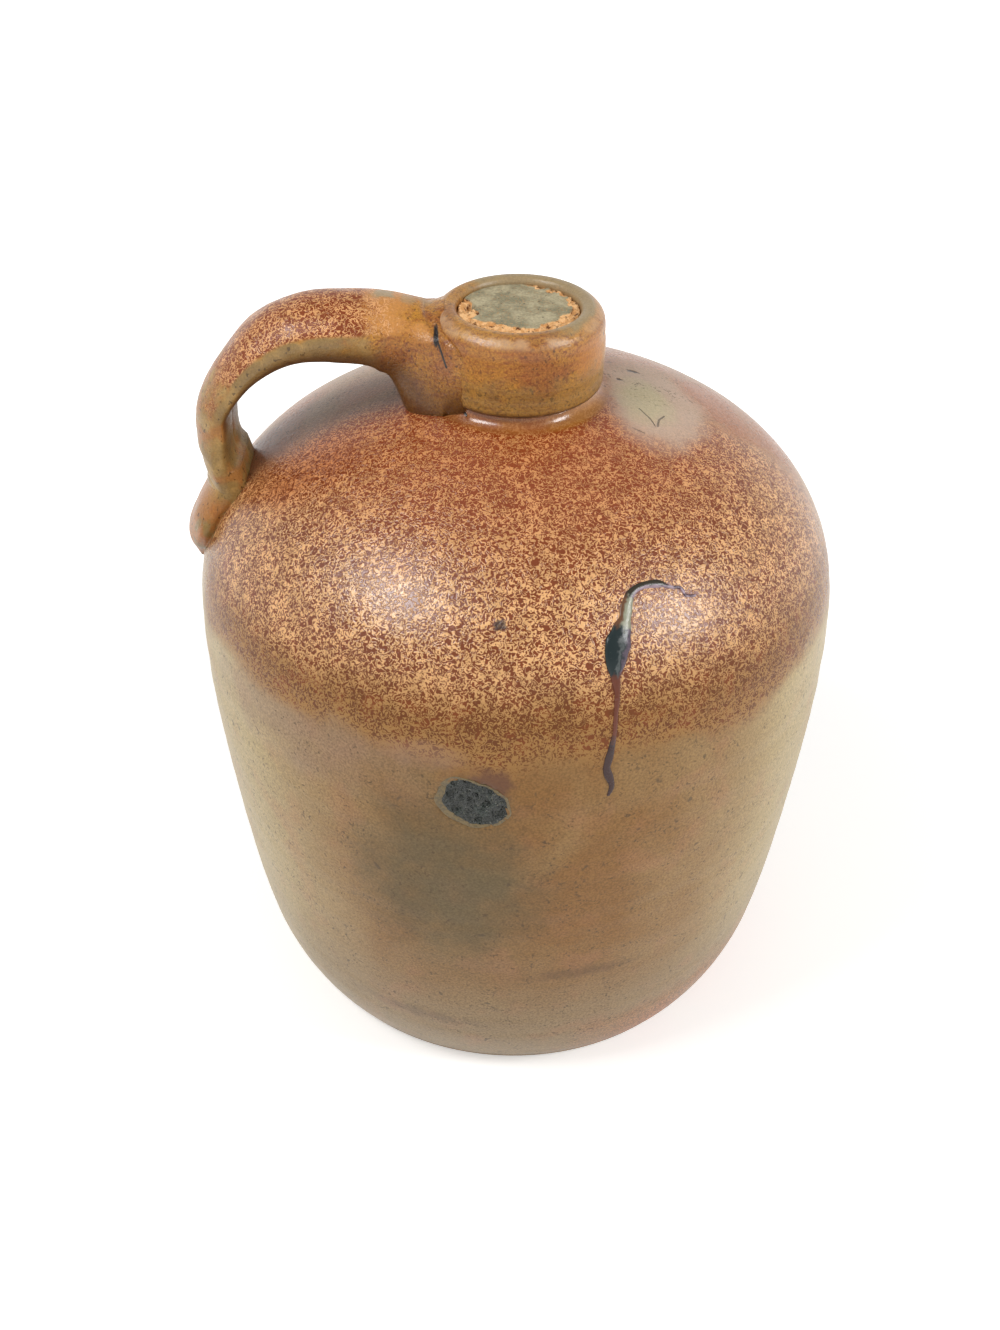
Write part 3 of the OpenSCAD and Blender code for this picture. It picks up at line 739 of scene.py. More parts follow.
def handle_glaze(colours):
    """Mottled crown, khaki sides and an ochre root on the pulled handle."""
    glaze = Glaze("handle_glaze")
    along = glaze.mark("along")
    crown = glaze.mark("crown")
    ochre(glaze, colours)
    mist = glaze.noise(6, 3.0, 0.3, offset=1.1)
    ragged = glaze.spread(mist, -0.05, 0.05)
    at = glaze.sum("ADD", along, ragged)
    grain = glaze.noise(0.6, 1.5, offset=5.7)
    shaded = glaze.spread(grain, 0.86, 1.14)
    # Thin glaze over the root's crown is a clear orange, and the web under it stays brown.
    high = glaze.fit(glaze.sum("ADD", crown, glaze.times(ragged, 2.0)), 0.25, 0.5)
    bright = glaze.times(high, glaze.fit(at, 0.1, 0.16), glaze.fit(at, 0.34, 0.28))
    glaze.coat(glaze.scaled(colours.amber, shaded), bright, 0.85)
    # Past the arch the strap is khaki with orange clouds, and its sides are khaki all along.
    flank = glaze.times(glaze.fit(glaze.sum("ADD", crown, glaze.times(ragged, 2.5)), 0.42, 0.24),
                        glaze.fit(at, 0.2, 0.3))
    lower = glaze.fit(at, 0.46, 0.54)
    khaki = glaze.scaled(glaze.blend(colours.khaki, colours.khaki_pale, glaze.fit(mist, 0.4, 0.65)), shaded)
    glaze.coat(khaki, glaze.most(flank, lower), 0.92)
    fired = glaze.fit(glaze.noise(8, 3.0, 0.5, offset=12.5), 0.5, 0.62)
    glaze.coat(glaze.scaled(colours.rust, shaded), lower, fired, 0.6)
    lobe = glaze.times(glaze.fit(along, 0.74, 0.8), glaze.fit(mist, 0.36, 0.5))
    glaze.coat(glaze.scaled(colours.rust, shaded), lobe, 0.7)
    mottled, peel = mottle(glaze, colours, glaze.z, 0.5)
    near = glaze.sum("ADD", along,
                     glaze.sum("ADD", glaze.times(ragged, 0.35), glaze.fit(peel, 0.3, 0.7, -0.03, 0.03)))
    arch = glaze.times(glaze.fit(near, 0.205, 0.235), glaze.fit(at, 0.53, 0.44))
    glaze.coat(mottled, arch, glaze.fit(crown, 0.26, 0.38))
    dots = glaze.fit(glaze.noise(1.3, 1.0, 0.2, offset=31.0), 0.64, 0.71)
    glaze.coat("#4b3418", dots, glaze.most(flank, lower), 0.75)
    # Grey-green bloom lies in three places on the crown, and the arch's underside is darkened as painted
    # shade.
    for x, y, z, reach, strength in ((-36.5, 1.3, 227.3, 3.0, 0.85), (-29.6, 0.2, 226.0, 2.4, 0.5),
                                     (-25.2, 2.7, 223.8, 2.2, 0.4)):
        bloom = glaze.spot((x, y, z), (reach,) * 3, 0.4, 0.4, 2.5)
        glaze.coat(glaze.scaled(colours.lip_worn, shaded), bloom, strength)
    # Painted shade: dark brown on the underside of the arch.
    below = glaze.times(glaze.fit(crown, 0.0, -0.6), glaze.fit(along, 0.66, 0.55))
    glaze.coat("#4d2f16", below, 0.8)
    lens = glaze.spot((-22.0, -11, 220.7), (0.7, 30, 1.9), 0.3)
    glaze.coat("#1d1512",
               glaze.most(glaze.crack(ROOT_CRACK, 0.4),
                          glaze.times(lens, glaze.fit(glaze.y, -7 * MM, -8 * MM))))
    roughness = glaze.spread(mist, 0.27, 0.38)
    skin = glaze.bump(peel, 0.08)
    return glaze.finish(roughness, skin, Specular_IOR_Level=glaze.fit(along, 0.45, 0.6, 0.5, 0.28))


def cork_bark(colours):
    """Grimy cork, pale and crumbly where its rim broke away."""
    glaze = Glaze("cork_bark")
    broken = glaze.mark("broken")
    mist = glaze.noise(4.5, 3.0, 0.2)
    grain = glaze.noise(0.5, 1.5, offset=2.0)
    grime = glaze.blend(colours.cork_grime, colours.cork_grey, glaze.fit(mist, 0.35, 0.65))
    grime = glaze.blend(grime, colours.cork_tan,
                        glaze.times(glaze.fit(grain, 0.5, 0.66), glaze.fit(mist, 0.65, 0.4), 0.6))
    grime = glaze.scaled(grime, glaze.spread(glaze.noise(0.7, 1.0, offset=13.0), 0.82, 1.18))
    fresh = glaze.blend(colours.cork_fresh, colours.cork_bright,
                        glaze.fit(glaze.noise(1.5, 2.0, offset=3.0), 0.42, 0.6))
    fresh = glaze.blend(fresh, "#6a3d1c", glaze.fit(glaze.noise(1.6, 3.0, offset=5.0), 0.56, 0.68))
    glaze.colour = glaze.blend(grime, fresh, glaze.fit(broken, 0.1, 0.5))
    pores = glaze.fit(glaze.noise(1.0, 1.5, offset=8.0), 0.68, 0.75)
    glaze.coat("#3a2d1e", pores, 0.8)
    flank = glaze.fit(glaze.z, CORK_TOP_Z - 2.2 * MM, CORK_TOP_Z - 5 * MM)
    glaze.coat("#8a5f38", flank, 0.8)
    rough = glaze.bump(glaze.sum("SUBTRACT", grain, pores), 0.18)
    return glaze.finish(0.85, rough)


def kiln_glass(colours):
    """Dark run of kiln glass, pale where it foamed and red-brown where it is thin."""
    glaze = Glaze("kiln_glass")
    run = glaze.mark("run")
    across = glaze.mark("across")
    cloud = glaze.noise(1.4, 2.0)
    at = glaze.sum("ADD", run, glaze.spread(cloud, -0.012, 0.012))
    skew = glaze.sum("ADD", across, glaze.spread(cloud, -0.2, 0.2))

    def stretch(start, end):
        return glaze.times(glaze.fit(at, start - 0.012, start + 0.012),
                           glaze.fit(at, end + 0.012, end - 0.012))

    glaze.colour = glaze.blend(colours.kiln_dark, "#5c4f5b", glaze.fit(skew, 0.35, 0.8))
    streak = glaze.fit(glaze.sum("ABSOLUTE", glaze.sum("SUBTRACT", skew, 0.2)), 0.3, 0.0)
    glaze.coat("#6f7473", streak, 0.5)
    lilac = glaze.blend("#4a3542", "#a58f9a", glaze.fit(cloud, 0.42, 0.6))
    glaze.coat(lilac, glaze.fit(at, 0.19, 0.15))
    blob = glaze.blend("#39342a", "#a08b95", glaze.fit(skew, 0.2, 0.6))
    glaze.coat(blob, stretch(0.175, 0.315))
    foam = glaze.blend("#6b4a36", "#94947f", glaze.fit(skew, -0.6, -0.15))
    glaze.coat(foam, stretch(0.32, 0.435))
    glaze.coat(colours.kiln_thin, stretch(0.60, 0.81))
    glaze.coat("#3c2320", glaze.fit(at, 0.79, 0.84))
    return glaze.finish(glaze.fit(cloud, 0.3, 0.7, 0.16, 0.28), glaze.bump(cloud, 0.06),
                        Specular_IOR_Level=0.35)


def iron_stone(colours):
    """Rough, glassy, green-black stone in a pit of olive clay."""
    glaze = Glaze("iron_stone")
    rim = glaze.mark("rim")
    crumbs = glaze.noise(0.8, 3.0, 0.4)
    tint = glaze.noise(4, 2.0, 0.4, offset=3.0)
    glaze.colour = glaze.blend(colours.stone_dark, "#222b23", glaze.fit(tint, 0.5, 0.66))
    glaze.coat("#36372e", glaze.fit(crumbs, 0.55, 0.7))
    pale = glaze.fit(glaze.noise(0.9, 1.0, offset=6.0), 0.66, 0.72)
    glaze.coat("#a3a08c", pale, 0.25)
    glaze.coat("#0f110f", glaze.fit(crumbs, 0.44, 0.32))
    edge = glaze.blend("#5c4e33", "#76633f", glaze.fit(crumbs, 0.35, 0.6))
    bare = glaze.fit(glaze.sum("ADD", rim, glaze.spread(crumbs, -0.12, 0.12)), 0.4, 0.6)
    glaze.coat(edge, bare)
    roughness = glaze.fit(glaze.sum("ADD", crumbs, glaze.times(bare, 0.3)), 0.3, 0.8, 0.12, 0.5, "LINEAR")
    height = glaze.times(crumbs, glaze.fit(bare, 0, 1, 1.0, 0.3))
    return glaze.finish(roughness, glaze.bump(height, 0.6), IOR=1.55)


def soften(line, reach):
    """A line of evenly spaced points with its corners eased over some points each way."""
    kernel = np.hanning(2 * reach + 3)[1:-1]
    padded = np.vstack([2 * line[0] - line[reach:0:-1], line, 2 * line[-1] - line[-2:-reach - 2:-1]])
    eased = [np.convolve(padded[:, i], kernel / kernel.sum(), "valid") for i in (0, 1)]
    return np.column_stack(eased)


def shoulder_line(sizes, low_z):
    """The body's outer line from a height up to the collar's seat, through its hollow sweep."""
    heights = sizes.ledge_z - (sizes.ledge_z - low_z) * np.linspace(1, 0, 900) ** 1.6
    wall = np.column_stack([wall_r(heights, sizes), heights])
    turn = np.radians(np.linspace(0, 90, 24)[1:])
    sweep = np.column_stack([sizes.ledge_r - (sizes.ledge_r - sizes.seat_r) * np.sin(turn),
                             SEAT_Z - (SEAT_Z - sizes.ledge_z) * np.cos(turn)])
    even = spaced(np.vstack([wall, sweep]), 0.25 * MM)
    eased = soften(even, 9)
    eased[-1] = even[-1]
    return eased


def body_profile(sizes):
    """The body's closed outline from the foot's middle, over the shoulder, to the floor's middle."""
    foot_round, fine_r = 1.4 * MM, sizes.ledge_r + 8 * MM
    foot_top_r = float(wall_r(foot_round, sizes))
    under = spaced([(0, 0), (foot_top_r - foot_round, 0)], 8 * MM)
    edge = rounded((foot_top_r - foot_round, foot_round), foot_round, -90, 0, 6)
    line = shoulder_line(sizes, foot_round)
    wall = spaced(line[line[:, 0] > fine_r], 1.4 * MM)
    sweep = spaced(line[line[:, 0] <= fine_r], 0.55 * MM)
    throat = [(sizes.throat_r, SEAT_Z - 0.3 * MM)]
    ceiling = sizes.ledge_z - sizes.wall
    slope = np.gradient(wall[:, 0], wall[:, 1])
    inner = wall - sizes.wall * np.column_stack([np.ones(len(wall)), -slope]) / np.hypot(1, slope)[:, None]
    inner = inner[(inner[:, 1] > sizes.floor + 2 * MM) & (inner[:, 1] < ceiling)][::-1]
    inner = spaced(np.vstack([[(sizes.throat_r, ceiling)], inner]), 6 * MM)
    floor = spaced([(inner[-1, 0] - 3 * MM, sizes.floor), (0, sizes.floor)], 10 * MM)
    parts = (under, edge[1:], wall[1:], sweep, throat, inner, floor)
    touched = np.concatenate([np.full(len(p), v) for p,
                              v in zip(parts, (0.0, 0.4, 1.0, 1.0, 0.0, 0.0, 0.0))])
    profile = np.vstack(parts)
    ease = share_between(profile[:, 1], 0, 12 * MM) * share_between(profile[:, 0], sizes.seat_r + 3 * MM,
                                                                    fine_r)
    return profile, touched * ease


def pit_place(sizes, marks):
    """Middle of the stone's pit, with its axes along, across and out of the wall."""
    pit_azimuth, pit_turn = -98, 24
    middle, out, around, up = on_wall(pit_azimuth, marks.pit_z, sizes)
    t = math.radians(pit_turn)
    along = around * math.cos(t) - up * math.sin(t)
    return middle, along, np.cross(out, along), out


class JUG_OT_throw_body(bpy.types.Operator):
    """Throw the hollow body with its rings, and press in the pit that the stone popped"""
    bl_idname = "jug.throw_body"
    bl_label = "Throw body"

    def execute(self, context):
        sizes, marks = context.scene.jug_body, context.scene.jug_marks
        profile, touched = body_profile(sizes)
        material = body_glaze(context.scene.jug_colours)
        piece = throw("glazed_body", profile, touched, material,
                      **{"Segments": sizes.turns, "Ring depth": sizes.ring_depth,
                         "Ring pitch": sizes.ring_pitch, "Wobble": sizes.wobble, "Seed": 4.0})
        points = points_of(piece.data)
        radii = np.hypot(points[:, 0], points[:, 1])
        inner = (radii < wall_r(points[:, 2], sizes) - sizes.wall / 2) & (points[:, 2] > sizes.floor / 2)
        inner &= (points[:, 2] < sizes.ledge_z - sizes.wall / 2) | (radii < sizes.throat_r + 1 * MM)
        mark_points(piece.data, "inside", inner)
        middle, along, across, out = pit_place(sizes, marks)
        away = points - middle
        u = away @ along / (marks.pit_l / 2)
        v = away @ across / (marks.pit_w / 2)
        reach = np.hypot(u, v)
        near = (reach < 1.06) & (np.abs(away @ out) < sizes.wall / 2)
        dent = np.where(near, marks.pit_depth * (1 - share_between(reach, 0.86, 1.06)), 0)
        set_points(piece.data,
                   groove(points - out * dent[:, None], in_metres(SEAM_CRACK), 0.5 * MM, 0.5 * MM))
        give_to_body(piece, "jug", "body_glaze", "thrown_body")
        return {"FINISHED"}


def collar_line(sizes, body):
    """The collar's line from the seat, up its wall, over the lip and down to the mouth."""
    turn = np.radians(np.linspace(0, 90, 12))
    foot = np.column_stack([body.seat_r + (COLLAR_R - body.seat_r) * np.sin(turn),
                            SEAT_Z + sizes.foot_h * (1 - np.cos(turn))])
    lip = rounded((COLLAR_R - sizes.lip_round, RIM_Z - sizes.lip_round), sizes.lip_round, 0, 90, 14)
    mouth = rounded((sizes.mouth_r + sizes.mouth_round, RIM_Z - sizes.mouth_round), sizes.mouth_round, 90,
                    180, 8)
    return np.vstack([foot, lip, mouth])


class JUG_OT_turn_collar(bpy.types.Operator):
    """Turn the thick collar round the mouth, with its drawn-in foot and worn lip"""
    bl_idname = "jug.turn_collar"
    bl_label = "Turn collar"

    def execute(self, context):
        sizes, body = context.scene.jug_collar, context.scene.jug_body
        outline = collar_line(sizes, body)
        profile = spaced(np.vstack([[(body.throat_r, SEAT_Z)], outline, [(body.throat_r, SEAT_Z)]]),
                         0.6 * MM)
        # Shallow hollows run round the collar's wall, as fingers leave them.
        outer = profile[:, 0] > (sizes.mouth_r + COLLAR_R) / 2
        height = (profile[:, 1] - SEAT_Z) / (RIM_Z - SEAT_Z)
        dips = np.exp(-((height - 0.66) / 0.10) ** 2) + 0.5 * np.exp(-((height - 0.24) / 0.09) ** 2)
        belly = sizes.belly * (2 * height - 0.95) ** 2 * share_between(height, 0.03, 0.2)
        belly *= share_between(profile[:, 0], sizes.mouth_r + 1 * MM, COLLAR_R - 1 * MM)
        profile[:, 0] -= np.where(outer, sizes.hollow * dips, 0) + belly
        profile[-1] = profile[0]
        touched = np.where(outer, 0.8 * share_between(height, 0.02, 0.15), 0)
        piece = throw("glazed_collar", profile, touched, collar_glaze(context.scene.jug_colours),
                      **{"Segments": 220, "Ring depth": 0.22 * MM, "Ring pitch": 2.5 * MM,
                         "Wobble": 0.4 * MM, "Seed": 11.0})
        points = points_of(piece.data)
        points = groove(points, in_metres(ROOT_CRACK), 0.6 * MM, 0.7 * MM)
        set_points(piece.data, groove(points, in_metres(SEAM_CRACK), 0.5 * MM, 0.7 * MM))
        give_to_body(piece, "jug", "collar_glaze", "neck_collar")
        return {"FINISHED"}


# Half of the strap's section, as shares of its half width and of its crown or underside.
SECTION_SHARES = ((0, 1), (0.38, 0.93), (0.70, 0.72), (0.93, 0.42), (1.0, 0.22), (1.0, -0.05),
                  (0.93, -0.50), (0.78, -0.85), (0.45, -1.0), (0, -1.0))
# Places along the strap, chosen as in the solid: along, up, width, crown and underside.
ROOT_SHARES = ((-0.144, 0.00, 1.00, 0.98, 1.00), (0.007, 0.011, 1.00, 1.02, 1.00),
               (0.038, 0.044, 1.02, 1.06, 1.55))
ARCH_SHARES = ((0.142, 0.083, 0.84, 1.07, 3.10), (0.225, 0.110, 0.88, 1.07, 2.50),
               (0.321, 0.115, 0.95, 1.05, 1.94), (0.485, 0.119, 1.00, 1.04, 1.64),
               (0.640, 0.082, 1.00, 1.02, 1.40), (0.780, -0.024, 1.00, 0.99, 1.00),
               (0.904, -0.185, 1.00, 0.89, 0.65), (1.001, -0.396, 1.00, 0.92, 0.37),
               (1.012, -0.520, 1.00, 1.00, 0.28), (1.028, -0.727, 1.00, 0.95, 0.45),
               (1.037, -0.839, 1.00, 0.76, 1.22))
TAIL_SHARES = ((0.22, 0.90, 0.95), (0.45, 1.00, 0.88), (0.70, 0.74, 0.90), (0.90, 0.42, 0.55),
               (1.02, 0.28, 0.20))


def through(rows, at):
    """A smooth curve through a list of rows, at row numbers."""
    rows, at = np.asarray(rows, float), np.atleast_1d(at)
    n = len(rows) - 1
    i = np.clip(np.floor(at).astype(int), 0, n - 1)
    t = (at - i)[:, None]
    a, b, c, d = (rows[np.clip(i + k, 0, n)] for k in (-1, 0, 1, 2))
    return 0.5 * (2 * b + (c - a) * t + (2 * a - 5 * b + 4 * c - d) * t ** 2
                  + (3 * b - a - 3 * c + d) * t ** 3)


def strap_rows(sizes, body):
    """Rows of distance from the axis, height, half width, crown and underside down the strap."""
    collar_z = RIM_Z - sizes.root_drop
    press_z = body.ledge_z - sizes.press_drop
    press_x = float(wall_r(press_z, body))
    span, drop, embed = press_x - COLLAR_R, collar_z - press_z, body.wall / 2
    root_depth = collar_z - body.ledge_z + embed
    rows = [(COLLAR_R + span * a, collar_z + drop * b, sizes.root_w / 2 * w, sizes.crown * c,
             root_depth * u)
            for a, b, w, c, u in ROOT_SHARES]
    rows += [(COLLAR_R + span * a, collar_z + drop * b, sizes.strap_w / 2 * w, sizes.crown * c,
              sizes.under * u)
             for a, b, w, c, u in ARCH_SHARES]
    rows.append((press_x, press_z, sizes.press_w / 2, sizes.press_t, embed))
    for s, w, t in TAIL_SHARES:
        z = press_z - sizes.tail_l * s
        rows.append((float(wall_r(z, body)), z, sizes.tail_w / 2 * w, sizes.tail_t * t, embed))
    return rows


def carrier_outline(body, collar):
    """Outline of what carries the handle: the shoulder and the collar, seen as one form."""
    return np.vstack([[(0, 0)], shoulder_line(body, 1 * MM), collar_line(collar, body),
                      [(body.throat_r, SEAT_Z)]])


def depth_grid(outline, cell, reach):
    """Signed distance to the carrier on a grid over radius and height, below zero inside the clay."""
    low = np.array([0.0, 120 * MM])
    high = np.array([110 * MM, RIM_Z + reach])
    radii = np.arange(low[0], high[0], cell)
    heights = np.arange(low[1], high[1], cell)
    r, z = np.meshgrid(radii, heights, indexing="ij")
    spots = np.column_stack([r.ravel(), z.ravel()])
    line = spaced(outline, cell)
    gap = np.full(len(spots), np.inf)
    for i in range(0, len(line), 64):
        part = line[i:i + 64]
        gap = np.minimum(gap, np.sqrt(((spots[:, None] - part[None]) ** 2).sum(2)).min(1))
    # A spot is in the clay where a line out to the side crosses the outline an odd number of times.
    inside = np.zeros(len(spots), bool)
    ring = np.vstack([outline, [(0, outline[-1, 1]), (0, 0)]])
    for a, b in zip(ring, np.roll(ring, -1, axis=0)):
        crosses = (a[1] > spots[:, 1]) != (b[1] > spots[:, 1])
        if crosses.any():
            at = a[0] + (spots[:, 1] - a[1]) * (b[0] - a[0]) / (b[1] - a[1] + 1e-12)
            inside ^= crosses & (spots[:, 0] < at)
    mouth = (spots[:, 1] > SEAT_Z) & (spots[:, 0] < outline[-1, 0])
    return np.where(inside & ~mouth, -gap, gap).reshape(r.shape), low, cell


def look_up(grid, points):
    """Signed distance at points in space, read between the cells of the grid."""
    table, low, cell = grid
    spots = (np.stack([np.hypot(points[..., 0], points[..., 1]), points[..., 2]], -1) - low) / cell
    spots = np.clip(spots, 0, np.array(table.shape) - 1.001)
    i = np.floor(spots).astype(int)
    f = spots - i
    a, b = i[..., 0], i[..., 1]
    return ((table[a, b] * (1 - f[..., 0]) + table[a + 1, b] * f[..., 0]) * (1 - f[..., 1])
            + (table[a, b + 1] * (1 - f[..., 0]) + table[a + 1, b + 1] * f[..., 0]) * f[..., 1])


class JUG_OT_pull_handle(bpy.types.Operator):
    """Pull the strap handle and smooth its ends into the collar and the shoulder"""
    bl_idname = "jug.pull_handle"
    bl_label = "Pull handle"

    def execute(self, context):
        sizes, body, collar = context.scene.jug_handle, context.scene.jug_body, context.scene.jug_collar
        rows = strap_rows(sizes, body)
        ring_gap, sides, blend_reach, sunk = 0.75 * MM, 120, 12 * MM, 2.4 * MM
        start_x = 20.2 * MM
        # The rings stand evenly along the line, from inside the collar's wall to the tail's tip.
        at = np.linspace(0, len(rows) - 1, 3000)
        line = through(rows, at)
        first = int(np.argmax(line[:, 0] >= start_x))
        at, line = at[first:], line[first:]
        lengths = np.concatenate([[0], np.cumsum(np.linalg.norm(np.diff(line[:, :2], axis=0), axis=1))])
        count = int(lengths[-1] / ring_gap)
        at = np.interp(np.linspace(0, lengths[-1], count), lengths, at)
        line = through(rows, at)
        step = 0.01
        run = through(rows, np.minimum(at + step, len(rows) - 1)) - through(rows, np.maximum(at - step, 0))
        turn = np.clip((at - len(ROOT_SHARES) + 1) / 2, 0, 1)
        run = normalised(np.column_stack([run[:, 0], turn * run[:, 1]]))
        up = np.column_stack([-run[:, 1], run[:, 0]])
        # The section is a smooth closed curve through its shares.
        half = list(SECTION_SHARES)
        loop = half + [(-s, l) for s, l in half[-2:0:-1]]
        closed = loop[-1:] + loop + loop[:2]
        unit = through(closed, np.linspace(1, len(loop) + 1, 800))
        unit = spaced(unit * (1.5, 1.0), 0.0005)
        unit = unit[np.linspace(0, len(unit) - 1, sides + 1).astype(int)[:-1]] / (1.5, 1.0)
        side = line[:, 2:3] * unit[None, :, 0]
        lift = np.where(unit[None, :, 1] > 0, line[:, 3:4], line[:, 4:5]) * unit[None, :, 1]
        # Each point moves out from a core in the strap until it meets the blend of strap and carrier.
        core = 0.85 * np.maximum(np.minimum(lift, 0), -0.6 * line[:, 4:5])
        radius = np.hypot(side, lift - core)
        ways = np.stack([side / radius, (lift - core) / radius], -1)
        ahead, behind = np.roll(np.stack([side, lift], -1), -1, 1), np.roll(np.stack([side, lift], -1), 1,
                                                                            1)
        edge = ahead - behind
        square = normalised(np.stack([edge[..., 1], -edge[..., 0]], -1))
        facing = np.clip(np.abs((ways * square).sum(-1)), 0.35, 1)
        centre = np.stack([-line[:, 0], np.zeros(count), line[:, 1]], -1)
        upward = np.stack([-up[:, 0], np.zeros(count), up[:, 1]], -1)
        # Rings near the collar bend round it, so that the blend thins out on the collar's wall.
        bend = 1 - share_between(line[:, 0], COLLAR_R + 1 * MM, COLLAR_R + 14 * MM)

        def placed(reach):
            y = ways[..., 0] * reach
            spot = centre[:, None] + upward[:, None] * (core + ways[..., 1] * reach)[..., None]
            arc = line[:, :1] - np.sqrt(np.maximum(line[:, :1] ** 2 - y ** 2, (0.2 * line[:, :1]) ** 2))
            return np.stack([spot[..., 0] + bend[:, None] * arc, y, spot[..., 2]], -1)

        root_end, press_at = len(ROOT_SHARES), len(ROOT_SHARES) + len(ARCH_SHARES)
        melt = np.interp(at, [0, root_end, root_end + 2.5, press_at - 3, press_at, len(rows) - 1],
                         np.array([11, 11, 5, 0.5, 0.4, 0.5]) * MM)
        melt = melt[:, None] * (1 - 0.55 * share_between(unit[None, :, 1], 0.3, 0.8))
        grid = depth_grid(carrier_outline(body, collar), 0.4 * MM, 12 * MM)
        longest = radius + blend_reach
        stops = longest.copy()
        done = np.zeros(radius.shape, bool)
        before = np.full(radius.shape, -1.0)
        t_before = np.zeros(radius.shape)
        for share in np.linspace(0, 1, 160):
            t = longest * share
            strap = (t - radius) * facing
            spots = placed(t)
            inset = 0.28 * MM * share_between(np.hypot(spots[..., 0], spots[..., 1]), 26 * MM, 36 * MM)
            clay = look_up(grid, spots) + 0.06 * MM + inset
            h = np.maximum(melt - np.abs(strap - clay), 0) / melt
            field = np.minimum(strap, clay) - h * h * melt / 4
            met = ~done & (field > 0)
            crossing = t_before + (t - t_before) * (-before / np.maximum(field - before, 1e-9))
            stops = np.where(met, crossing, stops)
            buried = ~done & ~met & (t > radius) & ((clay < -sunk) | (strap - clay > melt))
            stops = np.where(buried, t, stops)
            done |= met | buried
            before, t_before = field, t
        # The web is smoothed as a thumb would, so that its foot leaves no creases.
        smooth = stops
        for _ in range(6):
            smooth = (smooth + np.roll(smooth, 1, 1) + np.roll(smooth, -1, 1)) / 3
            smooth = np.vstack([smooth[:1], (smooth[:-2] + smooth[1:-1] + smooth[2:]) / 3, smooth[-1:]])
        stops = stops + (smooth - stops) * share_between(melt, 3 * MM, 6 * MM)
        points = placed(stops).reshape(-1, 3)
        wear = 0.3 * MM + lumps(points, 15 * MM, 21) * 0.16 * MM + lumps(points, 5 * MM, 22) * 0.03 * MM
        away = placed(np.zeros(radius.shape)).reshape(-1, 3)
        points -= normalised(points - away) * wear[:, None]
        points = groove(points, in_metres(ROOT_CRACK), 0.6 * MM, 0.8 * MM)
        marks = {"along": np.repeat(at / (len(rows) - 1), sides), "crown": np.tile(unit[:, 1], count)}
        piece = mesh_object("glazed_handle", points, ring_faces(count, sides),
                            handle_glaze(context.scene.jug_colours), marks)
        give_to_body(piece, "jug", "handle_glaze", "strap_handle")
        return {"FINISHED"}


class JUG_OT_cut_cork(bpy.types.Operator):
    """Cut the tapered cork and crumble its rim"""
    bl_idname = "jug.cut_cork"
    bl_label = "Cut cork"

    def execute(self, context):
        sizes, collar, body = context.scene.jug_cork, context.scene.jug_collar, context.scene.jug_body
        top_gap = 0.3 * MM
        foot_r = body.throat_r - sizes.clearance
        top_r = collar.mouth_r - sizes.clearance - 0.05 * MM
        bevel = 1.3 * MM
        outline = np.vstack([
            spaced([(0, CORK_FOOT_Z), (foot_r - bevel, CORK_FOOT_Z), (foot_r, CORK_FOOT_Z + bevel),
                    (foot_r, SEAT_Z)], 1.2 * MM),
            spaced([(foot_r, SEAT_Z), (top_r, RIM_Z - collar.mouth_round), (top_r, CORK_TOP_Z - 0.4 * MM)],
                   0.9 * MM)[1:],
            spaced([(top_r - 0.3 * MM, CORK_TOP_Z), (0, CORK_TOP_Z)], top_gap)])
        piece = throw("old_cork", outline, np.zeros(len(outline)), cork_bark(context.scene.jug_colours),
                      **{"Segments": 220, "Ring depth": 0.0, "Ring pitch": 1.0, "Wobble": 0.0, "Seed": 2.0})
        points = points_of(piece.data)
        radius = np.hypot(points[:, 0], points[:, 1])
        angle = np.arctan2(points[:, 1], points[:, 0])
        top = share_between(points[:, 2], CORK_TOP_Z - 3 * MM, CORK_TOP_Z - 0.6 * MM)
        # The rim is broken widest at the front, and in places at the left, the right and the back.
        front = share_between(np.cos(angle + math.pi / 2 - 0.15), -0.25, 0.75)
        left = share_between(np.cos(angle - math.radians(-172)), 0.8, 0.95)
        right = share_between(np.cos(angle - math.radians(12)), 0.80, 0.97)
        behind = share_between(np.cos(angle - math.radians(52)), 0.80, 0.97)
        broken_w = sizes.crumble_w * np.maximum.reduce([front, 0.8 * left, 0.45 * right, 0.4 * behind])
        ragged = lumps(points, 4.5 * MM, 31) * 0.8 * MM + lumps(points, 1.6 * MM, 32) * 0.35 * MM
        inner_r = top_r - broken_w + ragged * share_between(broken_w, 0, 1 * MM)
        broken = share_between(radius, inner_r - 0.15 * MM, inner_r + 0.45 * MM) * share_between(broken_w,
                                                                                                 0,
                                                                                                 0.8 * MM)
        crumb = 0.55 + 0.35 * lumps(points, 2.4 * MM, 33) + 0.2 * lumps(points, 1.0 * MM, 34)
        drop = broken * top * sizes.crumble_depth * np.clip(crumb, 0.1, 1.3)
        hole = np.hypot(points[:, 0] + 13.2 * MM, (points[:, 1] - 1.6 * MM) * 0.7)
        drop += top * 2.6 * MM * (1 - share_between(hole, 0.7 * MM, 1.5 * MM))
        drop += top * 0.14 * MM * np.clip(lumps(points, 3.0 * MM, 35), 0, 1)
        points[:, 2] -= drop
        # Its flank is pitted, always inwards.
        flank = (1 - top) * share_between(radius, foot_r - 0.8 * MM, foot_r - 0.1 * MM)
        dents = flank * 0.25 * MM * np.clip(lumps(points, 3.5 * MM, 36), 0, 1)
        points[:, :2] *= (1 - dents / np.maximum(radius, MM))[:, None]
        set_points(piece.data, points)
        mark_points(piece.data, "broken", broken * top)
        give_to_body(piece, "cork", "cork_bark", "cork_stopper")
        return {"FINISHED"}


